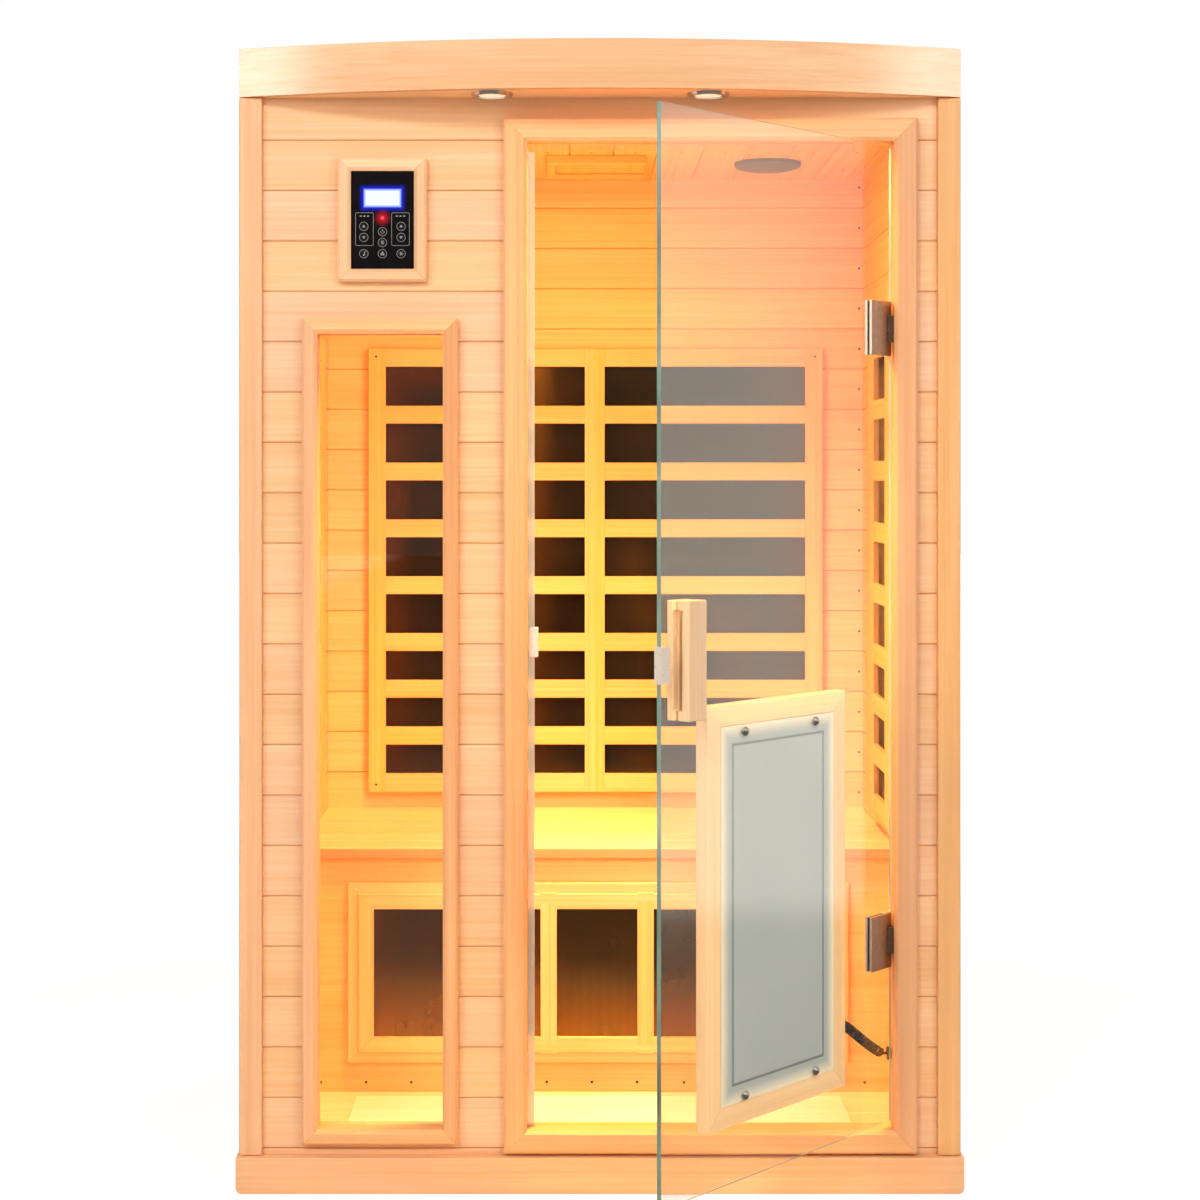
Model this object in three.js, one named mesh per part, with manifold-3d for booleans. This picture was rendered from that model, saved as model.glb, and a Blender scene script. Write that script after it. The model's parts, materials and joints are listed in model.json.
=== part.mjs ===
// An infrared sauna cabin for two people: a boarded timber cabin on a plinth, with a bowed roof,
// a fixed window, a glass door that carries a heater, slatted heater guards and a bench.
// Millimetres. The front faces -Y, +X is to the right and +Z is up. The origin is the middle of
// the cabin's footprint, on the underside of the plinth. The door stands open.
import * as THREE from "three";
import { mergeVertices } from "three/addons/utils/BufferGeometryUtils.js";
import Module from "manifold-3d";

const wasm = await Module();
wasm.setup();

// Cabin
const CABIN_WIDTH = 1200;
const CABIN_DEPTH = 960;
const CABIN_HEIGHT = 1900;
const FIT = 0.3; // gap between pieces that touch
const OVERCUT = 5; // how far a cutter runs past the face that it opens

// Plinth and floor
const PLINTH_HEIGHT = 60;
const PLINTH_SIDE_LIP = 4;
const PLINTH_FRONT_LIP = 10;
const PLINTH_ROUND = 10;
const FLOOR_TOP = 45;
const FLOOR_THICK = 15;
const FLOOR_HEATER_WIDTH = 882;
const FLOOR_HEATER_DEPTH = 210;
const FLOOR_HEATER_THICK = 12;
const FLOOR_HEATER_CLEAR = 54; // behind it, to the bench edge

// Posts and walls
const POST_WIDTH = 38;
const POST_PROUD = 10;
const WALL_THICK = 38;
const WALL_SKIN = 8;
const WALL_STUD = 42;
const WALL_RAIL = 50;
const SIDE_RECESS = 6;
const BACK_RECESS = 6;
const SIDE_CELLS = 3;
const BACK_CELLS = 4;
const BOARD_PITCH = 84;
const FIRST_JOINT = 70;
const JOINT_WIDTH = 5;
const JOINT_DEPTH = 2.5;

// Roof
const ROOF_HEIGHT = 80;
const ROOF_BOW_DEPTH = 90;
const FASCIA_THICK = 15;
const SOFFIT_THICK = 12;
const CEILING_THICK = 12;
const COVER_THICK = 10;
const COVER_DROP = 10;
const BOW_STEPS = 24;
const DOWNLIGHT_SPACING = 356;
const DOWNLIGHT_FORWARD = 42; // in front of the boards
const DOWNLIGHT_RADIUS = 35;
const DOWNLIGHT_LENS_RADIUS = 25;
const DOWNLIGHT_DROP = 5;
const DOWNLIGHT_BODY_RADIUS = 27;
const DOWNLIGHT_BODY_HEIGHT = 34;
const POWER_BOX_SIZE = [220, 160, 46];
const POWER_BOX_CENTRE = [-240, -170];
const GLAND_RADIUS = 12;
const GLAND_RISE = 7;

// Ceiling fittings
const LAMP_RADIUS = 60;
const LAMP_DROP = 14;
const LAMP_RIM = 4;
const LAMP_FROM_FRONT = 100;
const SPEAKER_RADIUS = 66;
const SPEAKER_DROP = 18;
const SPEAKER_RIM = 7;
const SPEAKER_BODY_RADIUS = 48;
const SPEAKER_BODY_HEIGHT = 40;
const SPEAKER_FROM_SIDE = 221;
const SPEAKER_FROM_BACK = 246;
const VENT_LENGTH = 190;
const VENT_DEPTH = 217;
const VENT_FROM_BACK = 135;
const VENT_RAIL_WIDTH = 45;
const VENT_RAIL_THICK = 16;
const VENT_STOP = 15;
const VENT_SLOT_DEPTH = 6;
const VENT_SLIDER_THICK = 8;
const VENT_SLIDER_RISE = 5; // slider underside above the rails' underside
const VENT_HOLE = [100, 90];
const VENT_GRIP = [110, 12, 3];
const ROUND_STEPS = 20;
const DOME_STEPS = 4;

// Window
const WINDOW_FROM_POST = 67;
const WINDOW_PIER = 76; // boards between the window's trim and the door's
const WINDOW_HEAD = 393; // from the roof's underside
const WINDOW_SILL = 104;
const WINDOW_TRIM = 25;
const WINDOW_LINER = 8;
const WINDOW_GLASS_THICK = 5;
const WINDOW_GLASS_SETBACK = 16;

// Door frame
const DOOR_FROM_POST = 34;
const DOOR_WIDTH = 610;
const DOOR_HEAD = 73; // from the roof's underside
const DOOR_SILL = 103;
const DOOR_TRIM = 39;
const DOOR_LINER = 12;
const TRIM_THICK = 16;
const TRIM_INNER_BEVEL = 6;
const TRIM_OUTER_BEVEL = 4;

// Control unit
const CONTROL_WIDTH = 105;
const CONTROL_HEIGHT = 163;
const CONTROL_BORDER = 21;
const CONTROL_FROM_POST = 200.5; // post to the panel's middle
const CONTROL_DROP = 204; // from the roof's underside to the panel's middle
const CONTROL_SINK = 8; // panel face behind the frame's face
const CONTROL_BOX_INSET = 6;
const CONTROL_BOX_DEPTH = 24;
const KEY_RADIUS = 7.2;
const KEY_THICK = 3;
const KEY_PROUD = 0.4;
const KEY_TRAVEL = 0.8;
const KEY_GAP = 0.4;
const KEY_STEPS = 16;
const KEY_PLACES = {
  key_heat_up: [-31, -10.5],
  key_heat_down: [-31, -29],
  key_time_up: [31, -10.5],
  key_time_down: [31, -29],
  key_power: [0, -19.5],
  key_mode: [0, -37.5],
  key_sound: [-31, -56],
  key_colour: [0, -56],
  key_light: [31, -56],
};

// Door
const DOOR_OPEN = THREE.MathUtils.degToRad(48);
const HINGE_INSET = 10; // axis from the jamb
const HINGE_SETBACK = 15; // axis behind the posts' faces
const HINGE_FROM_END = 304;
const GLASS_THICK = 8;
const GLASS_GAP_HINGE = 4;
const GLASS_GAP_FREE = 6;
const GLASS_GAP_TOP = 7.5;
const GLASS_GAP_BOTTOM = 10.5;
const CLAMP_HEIGHT = 90;
const CLAMP_REACH = 57;
const CLAMP_PLATE = 4.5;
const CLAMP_START = 3;
const CLAMP_NOTCH = 14; // depth of the glass notch at a hinge
const CLAMP_NOTCH_GAP = 1.5;
const EAR_RADIUS = 8;
const KNUCKLE_HEIGHT = 44;
const KNUCKLE_RADIUS = 12;
const KNUCKLE_GAP = 0.6;
const KNUCKLE_SWING = 1.5;
const PIN_RADIUS = 3;
const PIN_GAP = 0.26;
const PIN_STEPS = 16;
const HANDLE_LENGTH = 178;
const HANDLE_WIDTH = 46;
const HANDLE_OUTER_THICK = 22;
const HANDLE_INNER_THICK = 16;
const HANDLE_LEVEL = 917;
const HANDLE_FROM_EDGE = 36;
const HANDLE_CHAMFER = 3;
const FINGER_LENGTH = 148;
const FINGER_DEPTH = 11;
const FINGER_WIDTH_OUTER = 11.5; // from the glass
const FINGER_WIDTH_INNER = 3;
const BOLT_RADIUS = 4;
const BOLT_GAP = 0.4;
const BOLT_STEPS = 12;
const BOLT_SPACING = 110;
const BOLT_GRIP = 10;
const LATCH_LEVEL = 912;
const STRIKE_HEIGHT = 55;
const STRIKE_REACH = 18;
const STRIKE_WALL = 2.5;
const CATCH_HEIGHT = 49;
const CATCH_REACH = 18;
const CATCH_DEPTH = 20;
const SEAL_REACH = 12;
const SEAL_DEPTH = 8.5;
const SEAL_BASE = 3;
const SEAL_CLEAR = 0.6;

// Door heater and its curly cord
const DOOR_HEATER_START = 120; // from the hinge axis
const DOOR_HEATER_CLEAR = 32; // to the handle
const DOOR_HEATER_HEIGHT = 644;
const DOOR_HEATER_BOTTOM = 198;
const DOOR_HEATER_BORDER = 33;
const DOOR_HEATER_THICK = 25;
const DOOR_PANEL_THICK = 22;
const DOOR_HEATER_BEVEL = 4;
const STUD_INSET_ACROSS = 55;
const STUD_INSET_UP = 10;
const CORD_DIAMETER = 4.5;
const CURL_RADIUS = 6.5;
const CURLS = 17;
const CURL_STEPS = 8;
const CORD_SIDES = 5;
const CORD_LEAD = 18;
const CORD_LEVEL = 294;
const CORD_DEPTH = 14.5; // behind the glass face
const CORD_GLAND_LEVEL = 222;
const CORD_GLAND_RADIUS = 11;
const CORD_GLAND_LENGTH = 10;
const CORD_GLAND_SETBACK = 10; // from the inner wall face

// Heater guards
const GUARD_RISE = 34; // above the bench
const GUARD_DEPTH = 21.5;
const GUARD_LIP = 14;
const GUARD_TOP_RAIL = 37;
const GUARD_BOTTOM_RAIL = 39;
const GUARD_SLAT = 37;
const GUARD_SLAT_THICK = 10;
const GUARD_TALL_GAP = 81;
const GUARD_TALL_ROWS = 5;
const GUARD_LOW_GAP = 60;
const GUARD_LOW_ROWS = 3;
const BACK_GAP_WIDTH = 413;
const BACK_STILE = 36;
const BACK_MIDDLE = 41;
const SIDE_GAP_WIDTH = 149;
const SIDE_STILE = 84;
const SIDE_MIDDLE = 65;
const SIDE_GUARD_CLEAR = 231; // from the back wall
const HEATER_THICK = 6;

// Bench and the heater under it
const BENCH_TOP = 501;
const BENCH_DEPTH = 500;
const BENCH_THICK = 19;
const BENCH_PANEL_THICK = 18;
const BENCH_PANEL_SETBACK = 14;
const CALF_SIDE_GAP = 310;
const CALF_MIDDLE_GAP = 150;
const CALF_STILE = 30;
const CALF_BORDER = 48;
const CALF_OPEN_HEIGHT = 238;
const CALF_OPEN_BOTTOM = 149;
const CALF_THICK = 12;
const CALF_STEP_WIDTH = 20;
const CALF_STEP_DROP = 4;
const CALF_HEATER_MARGIN = 24;

// Finishes
const FINISHES = {
  wood: { color: 0xf2c79c, roughness: 0.6, metalness: 0 },
  inner_wood: { color: 0xf0bd80, roughness: 0.6, metalness: 0 },
  glass: { color: 0xdfeee8, roughness: 0.05, metalness: 0, transparent: true, opacity: 0.25 },
  steel: { color: 0xb9b2a8, roughness: 0.32, metalness: 1 },
  carbon: { color: 0x2b211c, roughness: 0.35, metalness: 0 },
  panel_grey: { color: 0xbfc1b6, roughness: 0.45, metalness: 0.3 },
  gloss_black: { color: 0x1d1a1d, roughness: 0.15, metalness: 0 },
  key_black: { color: 0x2a272b, roughness: 0.35, metalness: 0 },
  black_rubber: { color: 0x241c18, roughness: 0.6, metalness: 0 },
  clear_plastic: { color: 0xece9e2, roughness: 0.35, metalness: 0 },
  grey_plastic: { color: 0x8f8b84, roughness: 0.5, metalness: 0 },
  white_plastic: { color: 0xf4f1e8, roughness: 0.4, metalness: 0 },
  chrome: { color: 0xe2dcd2, roughness: 0.15, metalness: 1 },
  box_metal: { color: 0xb8bcc0, roughness: 0.5, metalness: 0.6 },
};

// Planes that the pieces share
const half = CABIN_WIDTH / 2;
const front = -CABIN_DEPTH / 2;
const back = CABIN_DEPTH / 2;
const postInner = half - POST_WIDTH;
const boardFront = front + POST_PROUD;
const innerFront = boardFront + WALL_THICK;
const sideOuter = half - SIDE_RECESS;
const sideInner = sideOuter - WALL_THICK;
const backOuter = back - BACK_RECESS;
const backInner = backOuter - WALL_THICK;
const wallBottom = PLINTH_HEIGHT + FIT;
const roofBottom = CABIN_HEIGHT - ROOF_HEIGHT;
const wallTop = roofBottom - FIT;
const ceilingBottom = roofBottom - CEILING_THICK;
const trimFront = boardFront - FIT - TRIM_THICK;
const doorRight = postInner - DOOR_FROM_POST - DOOR_TRIM;
const doorLeft = doorRight - DOOR_WIDTH;
const windowLeft = -postInner + WINDOW_FROM_POST + WINDOW_TRIM;
const windowRight = doorLeft - DOOR_TRIM - WINDOW_PIER - WINDOW_TRIM;
const windowTop = roofBottom - WINDOW_HEAD;
const doorTop = roofBottom - DOOR_HEAD;
const controlMiddle = -postInner + CONTROL_FROM_POST;
const controlLevel = roofBottom - CONTROL_DROP;
const speakerX = sideInner - SPEAKER_FROM_SIDE;
const speakerY = backInner - SPEAKER_FROM_BACK;
const ventMiddle = backInner - VENT_FROM_BACK - VENT_DEPTH / 2;
const benchFront = backInner - BENCH_DEPTH;
const coverTop = CABIN_HEIGHT - COVER_DROP;
const coverBottom = coverTop - COVER_THICK;

// The door's own planes: distance u runs from the hinge axis to the free edge, n out of the glass
const hingeX = doorRight - HINGE_INSET;
const hingeY = front + HINGE_SETBACK;
const glassStart = GLASS_GAP_HINGE - HINGE_INSET;
const glassEnd = hingeX - doorLeft - GLASS_GAP_FREE;
const glassBottom = DOOR_SILL + GLASS_GAP_BOTTOM;
const glassTop = doorTop - GLASS_GAP_TOP;
const glassFace = GLASS_THICK / 2;
const seat = glassFace + FIT; // where pieces on the glass begin
const hingeLevels = { upper: glassTop - HINGE_FROM_END, lower: glassBottom + HINGE_FROM_END };
const handleEnd = glassEnd - HANDLE_FROM_EDGE;
const handleMiddle = handleEnd - HANDLE_WIDTH / 2;
const panelStart = DOOR_HEATER_START + DOOR_HEATER_BORDER;
const panelEnd = handleEnd - HANDLE_WIDTH - DOOR_HEATER_CLEAR - DOOR_HEATER_BORDER;
const panelBottom = DOOR_HEATER_BOTTOM + DOOR_HEATER_BORDER;
const panelTop = DOOR_HEATER_BOTTOM + DOOR_HEATER_HEIGHT - DOOR_HEATER_BORDER;
const sealFront = hingeY + seat + STRIKE_WALL + SEAL_CLEAR;

// Geometry helpers

// Merged vertices, no empty triangles, faces pointing out.
function facingOut(geometry) {
  const flat = geometry.index ? geometry.toNonIndexed() : geometry;
  const bare = new THREE.BufferGeometry();
  bare.setAttribute("position", flat.getAttribute("position"));
  const merged = mergeVertices(bare);
  const place = merged.getAttribute("position");
  const corner = [0, 1, 2].map(() => new THREE.Vector3());
  const kept = [];
  let volume = 0;
  for (let i = 0; i < merged.index.count; i += 3) {
    const ids = [0, 1, 2].map((k) => merged.index.getX(i + k));
    if (new Set(ids).size < 3) continue;
    ids.forEach((id, k) => corner[k].fromBufferAttribute(place, id));
    volume += corner[0].dot(corner[1].clone().cross(corner[2]));
    kept.push(ids);
  }
  const faces = volume < 0 ? kept.map(([a, b, c]) => [a, c, b]) : kept;
  merged.setIndex(faces.flat());
  return merged;
}

function solidOf(geometry) {
  const merged = facingOut(geometry);
  const mesh = new wasm.Mesh({
    numProp: 3,
    vertProperties: merged.getAttribute("position").array,
    triVerts: new Uint32Array(merged.index.array),
  });
  return new wasm.Manifold(mesh);
}

function geometryOf(solid) {
  const mesh = solid.getMesh();
  const geometry = new THREE.BufferGeometry();
  geometry.setAttribute("position", new THREE.BufferAttribute(new Float32Array(mesh.vertProperties), 3));
  geometry.setIndex(new THREE.BufferAttribute(new Uint32Array(mesh.triVerts), 1));
  return geometry;
}

function cut(body, ...tools) {
  return geometryOf(tools.reduce((solid, tool) => solid.subtract(solidOf(tool)), solidOf(body)));
}

function join(body, ...others) {
  return geometryOf(others.reduce((solid, other) => solid.add(solidOf(other)), solidOf(body)));
}

function block([x0, x1], [y0, y1], [z0, z1]) {
  const geometry = new THREE.BoxGeometry(x1 - x0, y1 - y0, z1 - z0);
  return geometry.translate((x0 + x1) / 2, (y0 + y1) / 2, (z0 + z1) / 2);
}

function shapeOf(points) {
  return new THREE.Shape(points.map(([a, b]) => new THREE.Vector2(a, b)));
}

function extruded(shape, depth, curveSegments = ROUND_STEPS) {
  return new THREE.ExtrudeGeometry(shape, { depth, curveSegments, bevelEnabled: false });
}

const X_AXIS = new THREE.Vector3(1, 0, 0);
const Y_AXIS = new THREE.Vector3(0, 1, 0);
const Z_AXIS = new THREE.Vector3(0, 0, 1);

// A shape drawn in Y and Z, extruded along X.
function alongX(shape, [x0, x1]) {
  const turn = new THREE.Matrix4().makeBasis(Y_AXIS, Z_AXIS, X_AXIS);
  return extruded(shape, x1 - x0).applyMatrix4(turn).translate(x0, 0, 0);
}

// A shape drawn in X and Z, extruded along Y.
function alongY(shape, [y0, y1]) {
  const turn = new THREE.Matrix4().makeBasis(X_AXIS, Z_AXIS, Y_AXIS.clone().negate());
  return extruded(shape, y1 - y0).applyMatrix4(turn).translate(0, y1, 0);
}

// A shape drawn in X and Y, extruded along Z.
function alongZ(shape, [z0, z1], curveSegments = ROUND_STEPS) {
  return extruded(shape, z1 - z0, curveSegments).translate(0, 0, z0);
}

// A round bar along Z.
function post([x, y], radius, [z0, z1], steps = ROUND_STEPS) {
  const bar = new THREE.CylinderGeometry(radius, radius, z1 - z0, steps).rotateX(Math.PI / 2);
  return bar.translate(x, y, (z0 + z1) / 2);
}

// A round bar along Y.
function peg([x, z], radius, [y0, y1], steps) {
  const bar = new THREE.CylinderGeometry(radius, radius, y1 - y0, steps);
  return bar.translate(x, (y0 + y1) / 2, z);
}

// A profile of [radius, height] points turned about Z, starting and ending on the axis.
function turned(profile, [x, y, z]) {
  const points = profile.map(([r, h]) => new THREE.Vector2(r, h));
  return new THREE.LatheGeometry(points, ROUND_STEPS).rotateX(Math.PI / 2).translate(x, y, z);
}

// A mitred frame round an opening: each section point is [distance outside the opening, y].
function mitredFrame(section, [x0, x1], [z0, z1]) {
  const corners = [[1, 1], [-1, 1], [-1, -1], [1, -1]];
  const middle = [(x0 + x1) / 2, (z0 + z1) / 2];
  const reach = [(x1 - x0) / 2, (z1 - z0) / 2];
  const count = section.length;
  const places = corners.flatMap(([sx, sz]) =>
    section.flatMap(([a, y]) => [middle[0] + sx * (reach[0] + a), y, middle[1] + sz * (reach[1] + a)]),
  );
  const faces = [];
  corners.forEach((_, k) => {
    const near = k * count;
    const far = ((k + 1) % corners.length) * count;
    for (let j = 0; j < count; j++) {
      const next = (j + 1) % count;
      faces.push(near + j, far + j, far + next, near + j, far + next, near + next);
    }
  });
  const geometry = new THREE.BufferGeometry();
  geometry.setAttribute("position", new THREE.Float32BufferAttribute(places, 3));
  geometry.setIndex(faces);
  return facingOut(geometry);
}

// Equal spans between studs that stand at both ends and in between.
function spansBetween([from, to], count, stud) {
  const width = (to - from - stud * (count + 1)) / count;
  return Array.from({ length: count }, (_, i) => {
    const start = from + stud + i * (width + stud);
    return [start, start + width];
  });
}

function mirrored(side, [a, b]) {
  return side > 0 ? [a, b] : [-b, -a];
}

function jointsIn([from, to], first) {
  const joints = [];
  for (let at = first; at < to - JOINT_WIDTH; at += BOARD_PITCH) {
    if (at > from + JOINT_WIDTH) joints.push(at);
  }
  return joints;
}

// A wall section with a V joint at each board on both faces.
function wallSection([t0, t1], [z0, z1]) {
  const joints = jointsIn([z0, z1], FIRST_JOINT);
  const w = JOINT_WIDTH / 2;
  const up = joints.flatMap((z) => [[t1, z - w], [t1 - JOINT_DEPTH, z], [t1, z + w]]);
  const down = joints.toReversed().flatMap((z) => [[t0, z + w], [t0 + JOINT_DEPTH, z], [t0, z - w]]);
  return shapeOf([[t0, z0], [t1, z0], ...up, [t1, z1], [t0, z1], ...down]);
}

// A boarded slab's section, with the V joints on its top or on its underside.
function slabSection([a0, a1], [z0, z1], onTop) {
  const w = JOINT_WIDTH / 2;
  const joints = jointsIn([a0, a1], a0 + BOARD_PITCH);
  if (onTop) {
    const cuts = joints.toReversed().flatMap((a) => [[a + w, z1], [a, z1 - JOINT_DEPTH], [a - w, z1]]);
    return shapeOf([[a0, z0], [a1, z0], [a1, z1], ...cuts, [a0, z1]]);
  }
  const cuts = joints.flatMap((a) => [[a - w, z0], [a, z0 + JOINT_DEPTH], [a + w, z0]]);
  return shapeOf([[a0, z0], ...cuts, [a1, z0], [a1, z1], [a0, z1]]);
}

// Plinth, floor and bench

function plinth() {
  const w = half + PLINTH_SIDE_LIP;
  const r = PLINTH_ROUND;
  const outline = new THREE.Shape();
  outline.moveTo(-w, PLINTH_HEIGHT);
  outline.lineTo(-w, r);
  outline.absarc(-w + r, r, r, Math.PI, 1.5 * Math.PI, false);
  outline.absarc(w - r, r, r, 1.5 * Math.PI, 2 * Math.PI, false);
  outline.lineTo(w, PLINTH_HEIGHT);
  const tray = [FLOOR_TOP - FLOOR_THICK - FIT, PLINTH_HEIGHT + OVERCUT];
  return cut(
    alongY(outline, [front - PLINTH_FRONT_LIP, back]),
    block([-sideInner, sideInner], [innerFront, backInner], tray),
  );
}

function floorDeck() {
  const levels = [FLOOR_TOP - FLOOR_THICK, FLOOR_TOP];
  const section = slabSection([innerFront + FIT, backInner - FIT], levels, true);
  return alongX(section, [-sideInner + FIT, sideInner - FIT]);
}

function floorHeater() {
  const rear = benchFront - FLOOR_HEATER_CLEAR;
  const bottom = FLOOR_TOP + FIT;
  return block(
    [-FLOOR_HEATER_WIDTH / 2, FLOOR_HEATER_WIDTH / 2],
    [rear - FLOOR_HEATER_DEPTH, rear],
    [bottom, bottom + FLOOR_HEATER_THICK],
  );
}

function benchTop() {
  const section = slabSection([benchFront, backInner - FIT], [BENCH_TOP - BENCH_THICK, BENCH_TOP], true);
  return alongX(section, [-sideInner + FIT, sideInner - FIT]);
}

const calfWidth = 2 * (CALF_SIDE_GAP + CALF_STILE) + CALF_MIDDLE_GAP;
const calfOpenTop = CALF_OPEN_BOTTOM + CALF_OPEN_HEIGHT;
const calfHeaterReach = calfWidth / 2 + CALF_HEATER_MARGIN;
const calfHeaterLevels = [CALF_OPEN_BOTTOM - CALF_HEATER_MARGIN, calfOpenTop + CALF_HEATER_MARGIN];
const benchPanelFront = benchFront + BENCH_PANEL_SETBACK;

function benchPanel() {
  const rear = benchPanelFront + BENCH_PANEL_THICK;
  const levels = [FLOOR_TOP + FIT, BENCH_TOP - BENCH_THICK - FIT];
  return cut(
    block([-sideInner + FIT, sideInner - FIT], [benchPanelFront, rear], levels),
    block(
      [-calfHeaterReach, calfHeaterReach],
      [benchPanelFront - OVERCUT, rear + OVERCUT],
      calfHeaterLevels,
    ),
  );
}

function calfGuard() {
  const rear = benchPanelFront - FIT;
  const face = rear - CALF_THICK;
  const low = face + CALF_STEP_DROP;
  const step = CALF_BORDER - CALF_STEP_WIDTH;
  const section = [[0, rear], [0, face], [step, face], [step, low], [CALF_BORDER, low], [CALF_BORDER, rear]];
  const frame = mitredFrame(section, [-calfWidth / 2, calfWidth / 2], [CALF_OPEN_BOTTOM, calfOpenTop]);
  const levels = [CALF_OPEN_BOTTOM - CALF_STILE, calfOpenTop + CALF_STILE];
  const stile = [CALF_MIDDLE_GAP / 2, CALF_MIDDLE_GAP / 2 + CALF_STILE];
  const stiles = [-1, 1].map((side) => block(mirrored(side, stile), [face, rear], levels));
  return join(frame, ...stiles);
}

function calfHeater() {
  return block(
    [-calfHeaterReach + FIT, calfHeaterReach - FIT],
    [benchPanelFront, benchPanelFront + HEATER_THICK],
    [calfHeaterLevels[0] + FIT, calfHeaterLevels[1] - FIT],
  );
}

// Walls and posts

function cornerPost(side) {
  return block(mirrored(side, [postInner, half]), [front, innerFront], [wallBottom, wallTop]);
}

function frontWall() {
  const through = [boardFront - OVERCUT, innerFront + OVERCUT];
  const doorEdge = DOOR_LINER + FIT;
  const windowEdge = WINDOW_LINER + FIT;
  const boxEdge = CONTROL_BOX_INSET - FIT;
  const doorHole = block(
    [doorLeft - doorEdge, doorRight + doorEdge],
    through,
    [DOOR_SILL - doorEdge, doorTop + doorEdge],
  );
  const windowHole = block(
    [windowLeft - windowEdge, windowRight + windowEdge],
    through,
    [WINDOW_SILL - windowEdge, windowTop + windowEdge],
  );
  const controlHole = block(
    [controlMiddle - CONTROL_WIDTH / 2 + boxEdge, controlMiddle + CONTROL_WIDTH / 2 - boxEdge],
    [boardFront - OVERCUT, boardFront + CONTROL_BOX_DEPTH + FIT],
    [controlLevel - CONTROL_HEIGHT / 2 + boxEdge, controlLevel + CONTROL_HEIGHT / 2 - boxEdge],
  );
  const boards = alongX(
    wallSection([boardFront, innerFront], [wallBottom, wallTop]),
    [-postInner + FIT, postInner - FIT],
  );
  return cut(boards, doorHole, windowHole, controlHole);
}

// The wall's inside between its studs, open at the top where the wiring leaves it.
const cellLevels = [wallBottom + WALL_RAIL, wallTop + OVERCUT];

function sideWall(side) {
  const run = [innerFront + FIT, backOuter];
  const thick = mirrored(side, [sideInner + WALL_SKIN, sideOuter - WALL_SKIN]);
  const cells = spansBetween(run, SIDE_CELLS, WALL_STUD).map((span) => block(thick, span, cellLevels));
  const section = wallSection(mirrored(side, [sideInner, sideOuter]), [wallBottom, wallTop]);
  return cut(alongY(section, run), ...cells);
}

function backWall() {
  const run = [-sideInner + FIT, sideInner - FIT];
  const thick = [backInner + WALL_SKIN, backOuter - WALL_SKIN];
  const cells = spansBetween(run, BACK_CELLS, WALL_STUD).map((span) => block(span, thick, cellLevels));
  return cut(alongX(wallSection([backInner, backOuter], [wallBottom, wallTop]), run), ...cells);
}

// Roof

// The roof's plan, drawn in by an inset: straight sides and back, and a bowed front.
function roofPlan(inset, rear) {
  const radius = (half * half + ROOF_BOW_DEPTH * ROOF_BOW_DEPTH) / (2 * ROOF_BOW_DEPTH);
  const centre = front - ROOF_BOW_DEPTH + radius;
  const r = radius - inset;
  const w = half - inset;
  const lean = Math.asin(w / r);
  const plan = new THREE.Shape();
  plan.moveTo(w, rear);
  plan.lineTo(-w, rear);
  plan.absarc(0, centre, r, -Math.PI / 2 - lean, -Math.PI / 2 + lean, false);
  return plan;
}

function circle([x, y], radius) {
  return new THREE.Path().absarc(x, y, radius, 0, 2 * Math.PI, false);
}

const downlightY = boardFront - DOWNLIGHT_FORWARD;
const downlightXs = { left: -DOWNLIGHT_SPACING / 2, right: DOWNLIGHT_SPACING / 2 };

function roofFrame() {
  const plan = roofPlan(0, back);
  plan.holes.push(roofPlan(FASCIA_THICK, back - FASCIA_THICK));
  return alongZ(plan, [roofBottom, CABIN_HEIGHT], BOW_STEPS);
}

function roofSoffit() {
  const plan = roofPlan(FASCIA_THICK + FIT, innerFront);
  for (const x of Object.values(downlightXs)) {
    plan.holes.push(circle([x, downlightY], DOWNLIGHT_BODY_RADIUS + FIT));
  }
  return alongZ(plan, [roofBottom, roofBottom + SOFFIT_THICK], BOW_STEPS);
}

const ventHole = (levels) =>
  block(
    [-VENT_HOLE[0] / 2, VENT_HOLE[0] / 2],
    [ventMiddle - VENT_HOLE[1] / 2, ventMiddle + VENT_HOLE[1] / 2],
    levels,
  );

function roofCover() {
  const inset = FASCIA_THICK + FIT;
  const plan = roofPlan(inset, back - inset);
  plan.holes.push(circle(POWER_BOX_CENTRE, GLAND_RADIUS + FIT));
  return cut(
    alongZ(plan, [coverBottom, coverTop], BOW_STEPS),
    ventHole([coverBottom - OVERCUT, coverTop + OVERCUT]),
  );
}

function powerBox() {
  const [x, y] = POWER_BOX_CENTRE;
  const [w, d, h] = POWER_BOX_SIZE;
  const top = roofBottom + h;
  return join(
    block([x - w / 2, x + w / 2], [y - d / 2, y + d / 2], [roofBottom, top]),
    post([x, y], GLAND_RADIUS, [top - FIT, coverTop + GLAND_RISE]),
  );
}

function ceilingPanel() {
  const section = slabSection([-sideInner + FIT, sideInner - FIT], [ceilingBottom, wallTop], false);
  const through = [ceilingBottom - OVERCUT, wallTop + OVERCUT];
  const speakerHole = SPEAKER_BODY_RADIUS + FIT;
  return cut(
    alongY(section, [innerFront + FIT, backInner - FIT]),
    ventHole(through),
    post([speakerX, speakerY], speakerHole, through),
  );
}

function downlight(x) {
  const rim = DOWNLIGHT_DROP / 2;
  const profile = [
    [0, -rim],
    [DOWNLIGHT_LENS_RADIUS, -rim],
    [DOWNLIGHT_LENS_RADIUS, -DOWNLIGHT_DROP],
    [DOWNLIGHT_RADIUS - rim, -DOWNLIGHT_DROP],
    [DOWNLIGHT_RADIUS, -FIT],
    [DOWNLIGHT_BODY_RADIUS, -FIT],
    [DOWNLIGHT_BODY_RADIUS, DOWNLIGHT_BODY_HEIGHT],
    [0, DOWNLIGHT_BODY_HEIGHT],
  ];
  return turned(profile, [x, downlightY, roofBottom]);
}

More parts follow.
